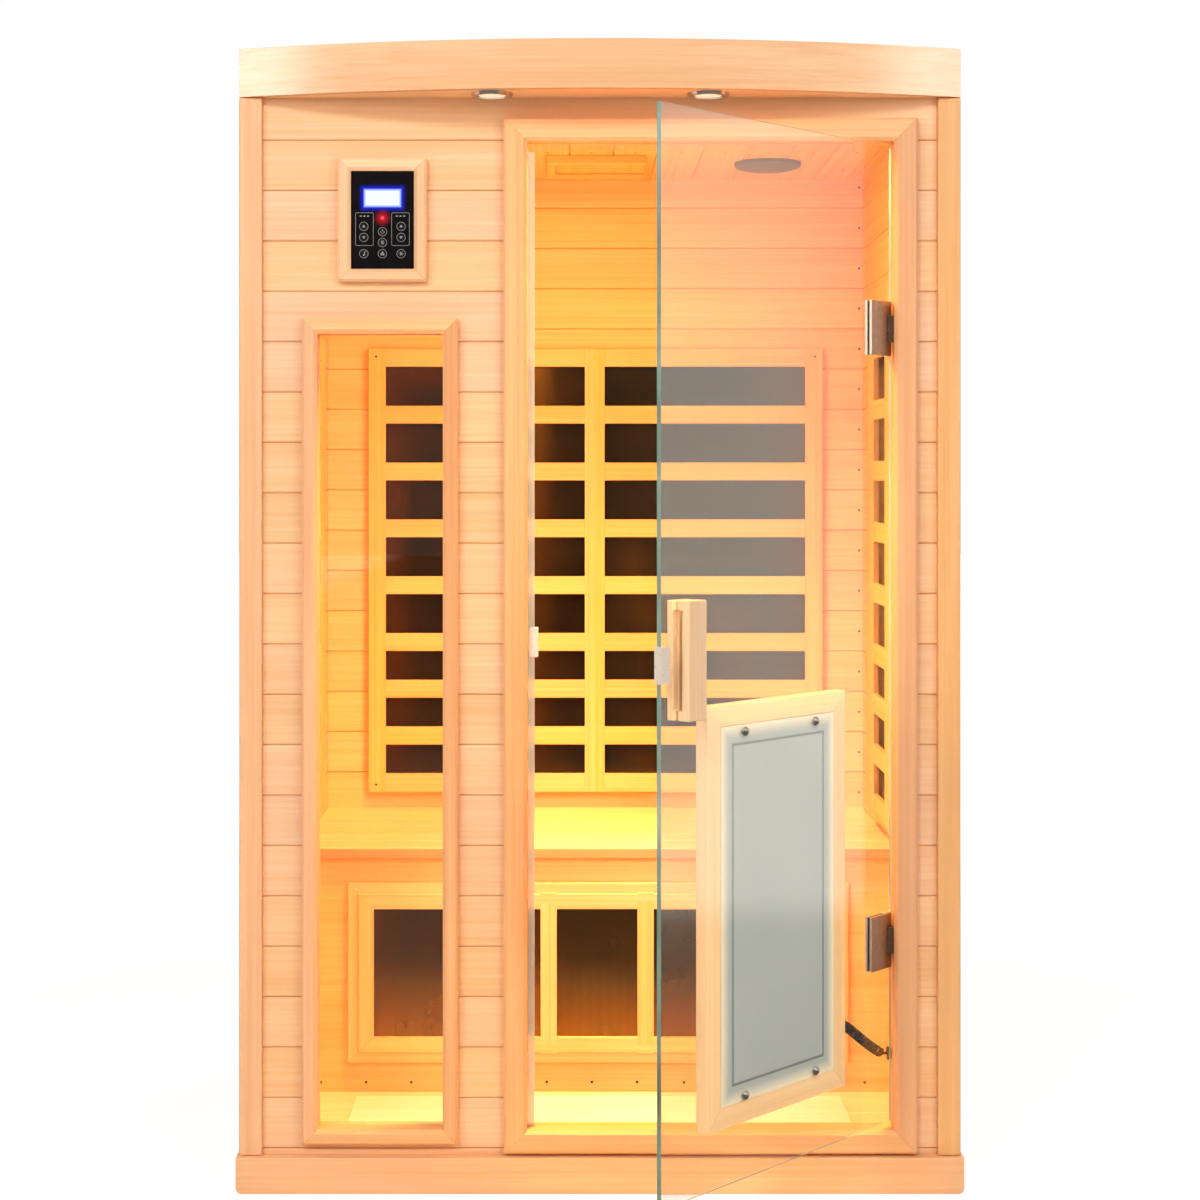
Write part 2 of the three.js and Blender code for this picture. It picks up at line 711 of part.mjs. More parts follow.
// A shallow dome's profile, from the axis out to the top of its rim.
function domeProfile(radius, drop, rim) {
  const curve = Array.from({ length: DOME_STEPS + 1 }, (_, i) => {
    const lean = ((i / DOME_STEPS) * Math.PI) / 2;
    return [radius * Math.sin(lean), -rim - (drop - rim) * Math.cos(lean)];
  });
  return [...curve, [radius, -FIT]];
}

function ceilingLamp() {
  const profile = [...domeProfile(LAMP_RADIUS, LAMP_DROP, LAMP_RIM), [0, -FIT]];
  return turned(profile, [0, innerFront + LAMP_FROM_FRONT, ceilingBottom]);
}

function speaker() {
  const profile = [
    ...domeProfile(SPEAKER_RADIUS, SPEAKER_DROP, SPEAKER_RIM),
    [SPEAKER_BODY_RADIUS, -FIT],
    [SPEAKER_BODY_RADIUS, SPEAKER_BODY_HEIGHT],
    [0, SPEAKER_BODY_HEIGHT],
  ];
  return turned(profile, [speakerX, speakerY, ceilingBottom]);
}

// Ceiling vent: two rails joined by an end stop, and a board that slides in their slots along X.
const ventTop = ceilingBottom - FIT;
const ventBottom = ventTop - VENT_RAIL_THICK;
const sliderLevels = [ventBottom + VENT_SLIDER_RISE, ventBottom + VENT_SLIDER_RISE + VENT_SLIDER_THICK];
const ventGap = VENT_DEPTH / 2 - VENT_RAIL_WIDTH;

function ventFrame() {
  const reach = VENT_LENGTH / 2;
  const outer = block(
    [-reach, reach],
    [ventMiddle - VENT_DEPTH / 2, ventMiddle + VENT_DEPTH / 2],
    [ventBottom, ventTop],
  );
  const bay = [-reach + VENT_STOP, reach + OVERCUT];
  const slot = ventGap + VENT_SLOT_DEPTH;
  return cut(
    outer,
    block(bay, [ventMiddle - ventGap, ventMiddle + ventGap], [ventBottom - OVERCUT, ventTop + OVERCUT]),
    block(bay, [ventMiddle - slot, ventMiddle + slot], [sliderLevels[0] - FIT, sliderLevels[1] + FIT]),
  );
}

function ventSlider() {
  const reach = VENT_LENGTH / 2;
  const edge = ventGap + VENT_SLOT_DEPTH - FIT;
  const [gripLength, gripWidth, gripDepth] = VENT_GRIP;
  const start = -reach + VENT_STOP + FIT;
  const middle = (start + reach) / 2;
  return cut(
    block([start, reach], [ventMiddle - edge, ventMiddle + edge], sliderLevels),
    block(
      [middle - gripLength / 2, middle + gripLength / 2],
      [ventMiddle - gripWidth / 2, ventMiddle + gripWidth / 2],
      [sliderLevels[0] - OVERCUT, sliderLevels[0] + gripDepth],
    ),
  );
}

// Window, door frame and control unit

// A trim section: a bevelled flange on the boards and a liner that runs through the wall.
function trimSection(width, liner) {
  return [
    [0, innerFront],
    [0, trimFront + TRIM_INNER_BEVEL],
    [TRIM_INNER_BEVEL, trimFront],
    [width - TRIM_OUTER_BEVEL, trimFront],
    [width, trimFront + TRIM_OUTER_BEVEL],
    [width, boardFront - FIT],
    [liner, boardFront - FIT],
    [liner, innerFront],
  ];
}

function windowTrim() {
  return mitredFrame(
    trimSection(WINDOW_TRIM, WINDOW_LINER),
    [windowLeft, windowRight],
    [WINDOW_SILL, windowTop],
  );
}

function windowGlass() {
  const face = boardFront + WINDOW_GLASS_SETBACK;
  return block(
    [windowLeft + FIT, windowRight - FIT],
    [face, face + WINDOW_GLASS_THICK],
    [WINDOW_SILL + FIT, windowTop - FIT],
  );
}

function doorTrim() {
  return mitredFrame(trimSection(DOOR_TRIM, DOOR_LINER), [doorLeft, doorRight], [DOOR_SILL, doorTop]);
}

// A strip up the left jamb and along the header, cut back to its base behind the catch.
function doorSeal() {
  const depth = [sealFront, sealFront + SEAL_DEPTH];
  const jamb = block([doorLeft + FIT, doorLeft + SEAL_REACH], depth, [DOOR_SILL + FIT, doorTop - FIT]);
  const header = block(
    [doorLeft + FIT, hingeX - CLAMP_REACH],
    depth,
    [doorTop - SEAL_REACH, doorTop - FIT],
  );
  const bay = block(
    [doorLeft + SEAL_BASE, doorLeft + SEAL_REACH + OVERCUT],
    [sealFront - OVERCUT, sealFront + SEAL_DEPTH + OVERCUT],
    [LATCH_LEVEL - CATCH_HEIGHT / 2 - FIT, LATCH_LEVEL + CATCH_HEIGHT / 2 + FIT],
  );
  return cut(join(jamb, header), bay);
}

function magnetCatch() {
  return block(
    [doorLeft + SEAL_BASE + FIT, doorLeft + CATCH_REACH],
    [sealFront, sealFront + CATCH_DEPTH],
    [LATCH_LEVEL - CATCH_HEIGHT / 2, LATCH_LEVEL + CATCH_HEIGHT / 2],
  );
}

const controlSpan = [controlMiddle - CONTROL_WIDTH / 2, controlMiddle + CONTROL_WIDTH / 2];
const controlLevels = [controlLevel - CONTROL_HEIGHT / 2, controlLevel + CONTROL_HEIGHT / 2];
const controlFace = trimFront + CONTROL_SINK;
const keyFace = controlFace - KEY_PROUD;
const keyRear = keyFace + KEY_THICK;

function controlFrame() {
  const section = [
    [0, boardFront - FIT],
    [0, trimFront + TRIM_INNER_BEVEL],
    [TRIM_INNER_BEVEL, trimFront],
    [CONTROL_BORDER - TRIM_OUTER_BEVEL, trimFront],
    [CONTROL_BORDER, trimFront + TRIM_OUTER_BEVEL],
    [CONTROL_BORDER, boardFront - FIT],
  ];
  return mitredFrame(section, controlSpan, controlLevels);
}

function keyPlace([across, up]) {
  return [controlMiddle + across, controlLevel + up];
}

function controlPanel() {
  const plate = block(
    [controlSpan[0] + FIT, controlSpan[1] - FIT],
    [controlFace, boardFront - FIT],
    [controlLevels[0] + FIT, controlLevels[1] - FIT],
  );
  const box = block(
    [controlSpan[0] + CONTROL_BOX_INSET, controlSpan[1] - CONTROL_BOX_INSET],
    [boardFront - 2 * FIT, boardFront + CONTROL_BOX_DEPTH],
    [controlLevels[0] + CONTROL_BOX_INSET, controlLevels[1] - CONTROL_BOX_INSET],
  );
  const bays = Object.values(KEY_PLACES).map((place) =>
    peg(
      keyPlace(place),
      KEY_RADIUS + KEY_GAP,
      [controlFace - OVERCUT, keyRear + KEY_TRAVEL + KEY_GAP],
      KEY_STEPS,
    ),
  );
  return cut(join(plate, box), ...bays);
}

function controlKey(place) {
  return peg(keyPlace(place), KEY_RADIUS, [keyFace, keyRear], KEY_STEPS);
}

// Hinge brackets, their round knuckles cut off flat where they meet the jamb

function hingeBracket(level) {
  const levels = [level - KNUCKLE_HEIGHT / 2, level + KNUCKLE_HEIGHT / 2];
  const past = [levels[0] - OVERCUT, levels[1] + OVERCUT];
  const [front, rear] = [hingeY - KNUCKLE_RADIUS, hingeY + KNUCKLE_RADIUS];
  return cut(
    join(
      post([hingeX, hingeY], KNUCKLE_RADIUS, levels),
      block([hingeX, doorRight - FIT], [front, rear], levels),
    ),
    block([doorRight - FIT, doorRight + KNUCKLE_RADIUS], [front - OVERCUT, rear + OVERCUT], past),
    post([hingeX, hingeY], PIN_RADIUS + PIN_GAP, past, PIN_STEPS),
  );
}

// Door pieces, drawn with the door shut: the hinge axis is at the group's origin, u runs to -X
// and n runs to -Y.

function doorBlock([u0, u1], [n0, n1], levels) {
  return block([-u1, -u0], [-n1, -n0], levels);
}

function doorPeg([u, z], radius, [n0, n1]) {
  return peg([-u, z], radius, [-n1, -n0], BOLT_STEPS);
}

const boltPlaces = [-1, 1].map((end) => [handleMiddle, HANDLE_LEVEL + (end * BOLT_SPACING) / 2]);
const studPlaces = [panelStart + STUD_INSET_ACROSS, panelEnd - STUD_INSET_ACROSS].flatMap((u) =>
  [panelBottom + STUD_INSET_UP, panelTop - STUD_INSET_UP].map((z) => [u, z]),
);

function doorGlass() {
  const pane = doorBlock([glassStart, glassEnd], [-glassFace, glassFace], [glassBottom, glassTop]);
  const through = [-glassFace - OVERCUT, glassFace + OVERCUT];
  const reach = CLAMP_HEIGHT / 2 + CLAMP_NOTCH_GAP;
  const notches = Object.values(hingeLevels).map((level) =>
    doorBlock([glassStart - OVERCUT, CLAMP_NOTCH], through, [level - reach, level + reach]),
  );
  const holes = [...boltPlaces, ...studPlaces].map((at) => doorPeg(at, BOLT_RADIUS + BOLT_GAP, through));
  return cut(pane, ...notches, ...holes);
}

// Two plates grip the glass; ears above and below the knuckle join them and hold the pin.
function hingeClamp(level) {
  const outer = seat + CLAMP_PLATE;
  const top = CLAMP_HEIGHT / 2;
  const gap = KNUCKLE_HEIGHT / 2 + KNUCKLE_GAP;
  const levels = [level - top, level + top];
  const plates = [[seat, outer], [-outer, -seat]].map((n) =>
    doorBlock([CLAMP_START, CLAMP_REACH], n, levels),
  );
  const ears = [[level + gap, level + top], [level - top, level - gap]].flatMap((span) => [
    post([0, 0], EAR_RADIUS, span),
    doorBlock([0, CLAMP_NOTCH - FIT], [-outer, outer], span),
  ]);
  const bay = doorBlock(
    [-EAR_RADIUS - OVERCUT, KNUCKLE_RADIUS + KNUCKLE_SWING],
    [-outer - OVERCUT, outer + OVERCUT],
    [level - gap, level + gap],
  );
  const bore = post([0, 0], PIN_RADIUS + PIN_GAP, [level - top - OVERCUT, level + top + OVERCUT], PIN_STEPS);
  return cut(join(...plates, ...ears), bay, bore);
}

function hingePin(level) {
  return post([0, 0], PIN_RADIUS, [level - CLAMP_HEIGHT / 2, level + CLAMP_HEIGHT / 2], PIN_STEPS);
}

// A handle bar with chamfered edges and, on the free edge's side, a finger rebate by the glass.
function handleBar([n0, n1], fingers) {
  const c = HANDLE_CHAMFER;
  const [x0, x1] = [-handleEnd, -handleEnd + HANDLE_WIDTH];
  const [y0, y1] = [-n1, -n0];
  const section = shapeOf([
    [x0 + c, y0], [x1 - c, y0], [x1, y0 + c], [x1, y1 - c],
    [x1 - c, y1], [x0 + c, y1], [x0, y1 - c], [x0, y0 + c],
  ]);
  const bar = alongZ(section, [HANDLE_LEVEL - HANDLE_LENGTH / 2, HANDLE_LEVEL + HANDLE_LENGTH / 2]);
  const rebate = doorBlock(
    [handleEnd - FINGER_DEPTH, handleEnd + OVERCUT],
    fingers,
    [HANDLE_LEVEL - FINGER_LENGTH / 2, HANDLE_LEVEL + FINGER_LENGTH / 2],
  );
  return cut(bar, rebate);
}

function outerHandle() {
  const sockets = boltPlaces.map((at) =>
    doorPeg(at, BOLT_RADIUS + BOLT_GAP, [seat - OVERCUT, seat + BOLT_GRIP + FIT]),
  );
  const fingers = [seat - OVERCUT, seat + FINGER_WIDTH_OUTER];
  return cut(handleBar([seat, seat + HANDLE_OUTER_THICK], fingers), ...sockets);
}

// The inner handle carries the two bolts that go through the glass into the outer one.
function innerHandle() {
  const bolts = boltPlaces.map((at) => doorPeg(at, BOLT_RADIUS, [-seat - BOLT_GRIP, seat + BOLT_GRIP]));
  const fingers = [-seat - FINGER_WIDTH_INNER, -seat + OVERCUT];
  return join(handleBar([-seat - HANDLE_INNER_THICK, -seat], fingers), ...bolts);
}

function strikeClip() {
  const outer = seat + STRIKE_WALL;
  const levels = [LATCH_LEVEL - STRIKE_HEIGHT / 2, LATCH_LEVEL + STRIKE_HEIGHT / 2];
  return cut(
    doorBlock([glassEnd - STRIKE_REACH, glassEnd + FIT + STRIKE_WALL], [-outer, outer], levels),
    doorBlock(
      [glassEnd - STRIKE_REACH - OVERCUT, glassEnd + FIT],
      [-seat, seat],
      [levels[0] - OVERCUT, levels[1] + OVERCUT],
    ),
  );
}

function doorHeaterFrame() {
  const face = seat + DOOR_HEATER_THICK;
  const bevel = DOOR_HEATER_BEVEL;
  const section = [
    [0, seat],
    [0, face],
    [DOOR_HEATER_BORDER - bevel, face],
    [DOOR_HEATER_BORDER, face - bevel],
    [DOOR_HEATER_BORDER, seat],
  ];
  return mitredFrame(section, [-panelEnd, -panelStart], [panelBottom, panelTop]);
}

// The heater panel's four studs go through the glass.
function doorHeaterPanel() {
  const panel = doorBlock(
    [panelStart + FIT, panelEnd - FIT],
    [-seat - DOOR_PANEL_THICK, -seat],
    [panelBottom + FIT, panelTop - FIT],
  );
  const studs = studPlaces.map((at) => doorPeg(at, BOLT_RADIUS, [-seat - BOLT_GRIP, glassFace - FIT]));
  return join(panel, ...studs);
}

// Curly cord from the door heater to the jamb

function doorPoint(u, n, z) {
  const turned = new THREE.Vector3(-u, -n, z).applyAxisAngle(Z_AXIS, DOOR_OPEN);
  return turned.add(new THREE.Vector3(hingeX, hingeY, 0));
}

const cordGlandY = innerFront - CORD_GLAND_SETBACK;

function cordGland() {
  const radius = CORD_GLAND_RADIUS;
  const bar = new THREE.CylinderGeometry(radius, radius, CORD_GLAND_LENGTH, ROUND_STEPS);
  const middle = doorRight - FIT - CORD_GLAND_LENGTH / 2;
  return bar.rotateZ(Math.PI / 2).translate(middle, cordGlandY, CORD_GLAND_LEVEL);
}

// Centreline points: straight for one diameter at each end, and curls about a smooth axis between.
function cordPath() {
  const start = doorPoint(DOOR_HEATER_START - FIT, -glassFace - CORD_DEPTH, CORD_LEVEL);
  const leave = X_AXIS.clone().applyAxisAngle(Z_AXIS, DOOR_OPEN);
  const end = new THREE.Vector3(doorRight - CORD_GLAND_LENGTH - 2 * FIT, cordGlandY, CORD_GLAND_LEVEL);
  const first = start.clone().addScaledVector(leave, CORD_DIAMETER);
  const last = end.clone().addScaledVector(X_AXIS, -CORD_DIAMETER);
  const axis = new THREE.CubicBezierCurve3(
    first,
    first.clone().addScaledVector(leave, CORD_LEAD),
    last.clone().addScaledVector(X_AXIS, -CORD_LEAD),
    last,
  );
  const steps = CURLS * CURL_STEPS;
  const path = [start];
  for (let i = 0; i <= steps; i++) {
    const along = axis.getTangentAt(i / steps);
    const across = new THREE.Vector3().crossVectors(along, Z_AXIS).normalize();
    const up = new THREE.Vector3().crossVectors(across, along);
    const ramp = THREE.MathUtils.smoothstep(Math.min(i, steps - i), 0, CURL_STEPS);
    const turn = (2 * Math.PI * i) / CURL_STEPS;
    const point = axis.getPointAt(i / steps);
    point.addScaledVector(across, CURL_RADIUS * ramp * Math.cos(turn));
    point.addScaledVector(up, CURL_RADIUS * ramp * Math.sin(turn));
    path.push(point);
  }
  path.push(end);
  return { path, leave };
}

// One closed tube with a ring of corners at each point of the path.
function tubeAlong(path, firstWay, lastWay, radius, sides) {
  const ways = path.map((_, i) => {
    if (i < 2) return firstWay.clone();
    if (i > path.length - 3) return lastWay.clone();
    return path[i + 1].clone().sub(path[i - 1]).normalize();
  });
  const places = [];
  let across = new THREE.Vector3().crossVectors(firstWay, Z_AXIS).normalize();
  path.forEach((point, i) => {
    across = across.clone().addScaledVector(ways[i], -across.dot(ways[i])).normalize();
    const up = new THREE.Vector3().crossVectors(ways[i], across);
    for (let k = 0; k < sides; k++) {
      const turn = (2 * Math.PI * k) / sides;
      const corner = point.clone().addScaledVector(across, radius * Math.cos(turn));
      places.push(...corner.addScaledVector(up, radius * Math.sin(turn)).toArray());
    }
  });
  const faces = [];
  for (let i = 0; i + 1 < path.length; i++) {
    for (let k = 0; k < sides; k++) {
      const [a, b] = [i * sides + k, i * sides + ((k + 1) % sides)];
      faces.push(a, b, b + sides, a, b + sides, a + sides);
    }
  }
  const tail = (path.length - 1) * sides;
  for (let k = 1; k + 1 < sides; k++) faces.push(0, k + 1, k, tail, tail + k, tail + k + 1);
  const geometry = new THREE.BufferGeometry();
  geometry.setAttribute("position", new THREE.Float32BufferAttribute(places, 3));
  geometry.setIndex(faces);
  return geometry;
}

// The least gap between a tube's own turns, measured between points over half a curl apart.
function leastGap(path, diameter) {
  let least = Infinity;
  for (let i = 0; i < path.length; i++) {
    for (let j = i + CURL_STEPS / 2 + 1; j < path.length; j++) {
      least = Math.min(least, path[i].distanceTo(path[j]) - diameter);
    }
  }
  return least;
}

function doorCord() {
  const { path, leave } = cordPath();
  const length = path.slice(1).reduce((sum, point, i) => sum + point.distanceTo(path[i]), 0);
  console.log(`door_cord: ${length.toFixed(0)} mm of cord, least gap to itself`,
    `${leastGap(path, CORD_DIAMETER).toFixed(2)} mm`);
  return tubeAlong(path, leave, X_AXIS, CORD_DIAMETER / 2, CORD_SIDES);
}

// Heater guards: drawn facing -Y with the rear face at y 0, and turned onto their walls

const guardBottom = BENCH_TOP + GUARD_RISE;
const guardRows = [
  ...Array(GUARD_TALL_ROWS).fill(GUARD_TALL_GAP),
  ...Array(GUARD_LOW_ROWS).fill(GUARD_LOW_GAP),
];
const guardHeight =
  GUARD_TOP_RAIL +
  guardRows.reduce((sum, gap) => sum + gap, 0) +
  GUARD_SLAT * (guardRows.length - 1) +
  GUARD_BOTTOM_RAIL;

function guardWidth({ gap, stile, middle }) {
  return 2 * (gap + stile) + middle;
}

function guardGrid({ gap, stile, middle }) {
  const reach = guardWidth({ gap, stile, middle }) / 2;
  const through = [-GUARD_DEPTH - OVERCUT, OVERCUT];
  const columns = [[-reach + stile, -reach + stile + gap], [reach - stile - gap, reach - stile]];
  const holes = [];
  let top = guardBottom + guardHeight - GUARD_TOP_RAIL;
  for (const row of guardRows) {
    for (const column of columns) holes.push(block(column, through, [top - row, top]));
    top -= row + GUARD_SLAT;
  }
  const pocket = block(
    [-reach + GUARD_LIP, reach - GUARD_LIP],
    [-GUARD_DEPTH + GUARD_SLAT_THICK, OVERCUT],
    [guardBottom + GUARD_LIP, guardBottom + guardHeight - GUARD_LIP],
  );
  const plate = block([-reach, reach], [-GUARD_DEPTH, 0], [guardBottom, guardBottom + guardHeight]);
  return cut(plate, pocket, ...holes);
}

function guardHeater(columns) {
  const reach = guardWidth(columns) / 2 - GUARD_LIP - FIT;
  return block(
    [-reach, reach],
    [-HEATER_THICK, 0],
    [guardBottom + GUARD_LIP + FIT, guardBottom + guardHeight - GUARD_LIP - FIT],
  );
}

const backColumns = { gap: BACK_GAP_WIDTH, stile: BACK_STILE, middle: BACK_MIDDLE };
const sideColumns = { gap: SIDE_GAP_WIDTH, stile: SIDE_STILE, middle: SIDE_MIDDLE };

// Assembly

function piece(name, finish, geometry) {
  const material = new THREE.MeshStandardMaterial(FINISHES[finish]);
  const mesh = new THREE.Mesh(facingOut(geometry), material);
  mesh.name = name;
  return mesh;
}

function heaterSet(wall, columns, [x, y], turn) {
  const group = new THREE.Group();
  group.add(piece(`${wall}_guard`, "inner_wood", guardGrid(columns)));
  group.add(piece(`${wall}_heater`, "carbon", guardHeater(columns)));
  group.position.set(x, y, 0);
  group.rotation.z = turn;
  return group;
}

function doorGroup() {
  const door = new THREE.Group();
  door.add(piece("door_glass", "glass", doorGlass()));
  for (const [end, level] of Object.entries(hingeLevels)) {
    door.add(piece(`hinge_clamp_${end}`, "steel", hingeClamp(level)));
    door.add(piece(`hinge_pin_${end}`, "steel", hingePin(level)));
  }
  door.add(
    piece("handle_outer", "wood", outerHandle()),
    piece("handle_inner", "wood", innerHandle()),
    piece("strike_clip", "clear_plastic", strikeClip()),
    piece("door_heater_frame", "inner_wood", doorHeaterFrame()),
    piece("door_heater_panel", "panel_grey", doorHeaterPanel()),
  );
  door.position.set(hingeX, hingeY, 0);
  door.rotation.z = DOOR_OPEN;
  return door;
}

function assemble() {
  const cabin = new THREE.Group();
  cabin.add(
    piece("base_frame", "wood", plinth()),
    piece("floor_deck", "inner_wood", floorDeck()),
    piece("floor_heater", "inner_wood", floorHeater()),
    piece("post_left", "wood", cornerPost(-1)),
    piece("post_right", "wood", cornerPost(1)),
    piece("front_wall", "wood", frontWall()),
    piece("left_wall", "wood", sideWall(-1)),
    piece("right_wall", "wood", sideWall(1)),
    piece("back_wall", "wood", backWall()),
    piece("roof_frame", "wood", roofFrame()),
    piece("roof_soffit", "wood", roofSoffit()),
    piece("roof_cover", "wood", roofCover()),
    piece("ceiling_panel", "inner_wood", ceilingPanel()),
    piece("power_box", "box_metal", powerBox()),
    piece("ceiling_lamp", "white_plastic", ceilingLamp()),
    piece("speaker", "grey_plastic", speaker()),
    piece("vent_frame", "inner_wood", ventFrame()),
    piece("vent_slider", "inner_wood", ventSlider()),
    piece("control_frame", "wood", controlFrame()),
    piece("control_panel", "gloss_black", controlPanel()),
    piece("window_trim", "wood", windowTrim()),
    piece("window_glass", "glass", windowGlass()),
    piece("door_trim", "wood", doorTrim()),
    piece("door_seal", "clear_plastic", doorSeal()),
    piece("magnet_catch", "white_plastic", magnetCatch()),
    piece("cord_gland", "black_rubber", cordGland()),
    piece("door_cord", "black_rubber", doorCord()),
    piece("bench_top", "inner_wood", benchTop()),
    piece("bench_panel", "inner_wood", benchPanel()),
    piece("calf_guard", "inner_wood", calfGuard()),
    piece("calf_heater", "carbon", calfHeater()),
  );
  for (const [side, x] of Object.entries(downlightXs)) {
    cabin.add(piece(`downlight_${side}`, "chrome", downlight(x)));
  }
  for (const [end, level] of Object.entries(hingeLevels)) {
    cabin.add(piece(`hinge_bracket_${end}`, "steel", hingeBracket(level)));
  }
  for (const [name, place] of Object.entries(KEY_PLACES)) {
    cabin.add(piece(name, "key_black", controlKey(place)));
  }
  const sideGuardY = backInner - SIDE_GUARD_CLEAR - guardWidth(sideColumns) / 2;
  cabin.add(
    heaterSet("back", backColumns, [0, backInner - FIT], 0),
    heaterSet("right", sideColumns, [sideInner - FIT, sideGuardY], -Math.PI / 2),
    heaterSet("left", sideColumns, [-sideInner + FIT, sideGuardY], Math.PI / 2),
    doorGroup(),
  );
  return cabin;
}

export default assemble();
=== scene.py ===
"""Dresses the infrared sauna cabin: boards, glass, heaters, fittings, light and camera."""
import json
import math

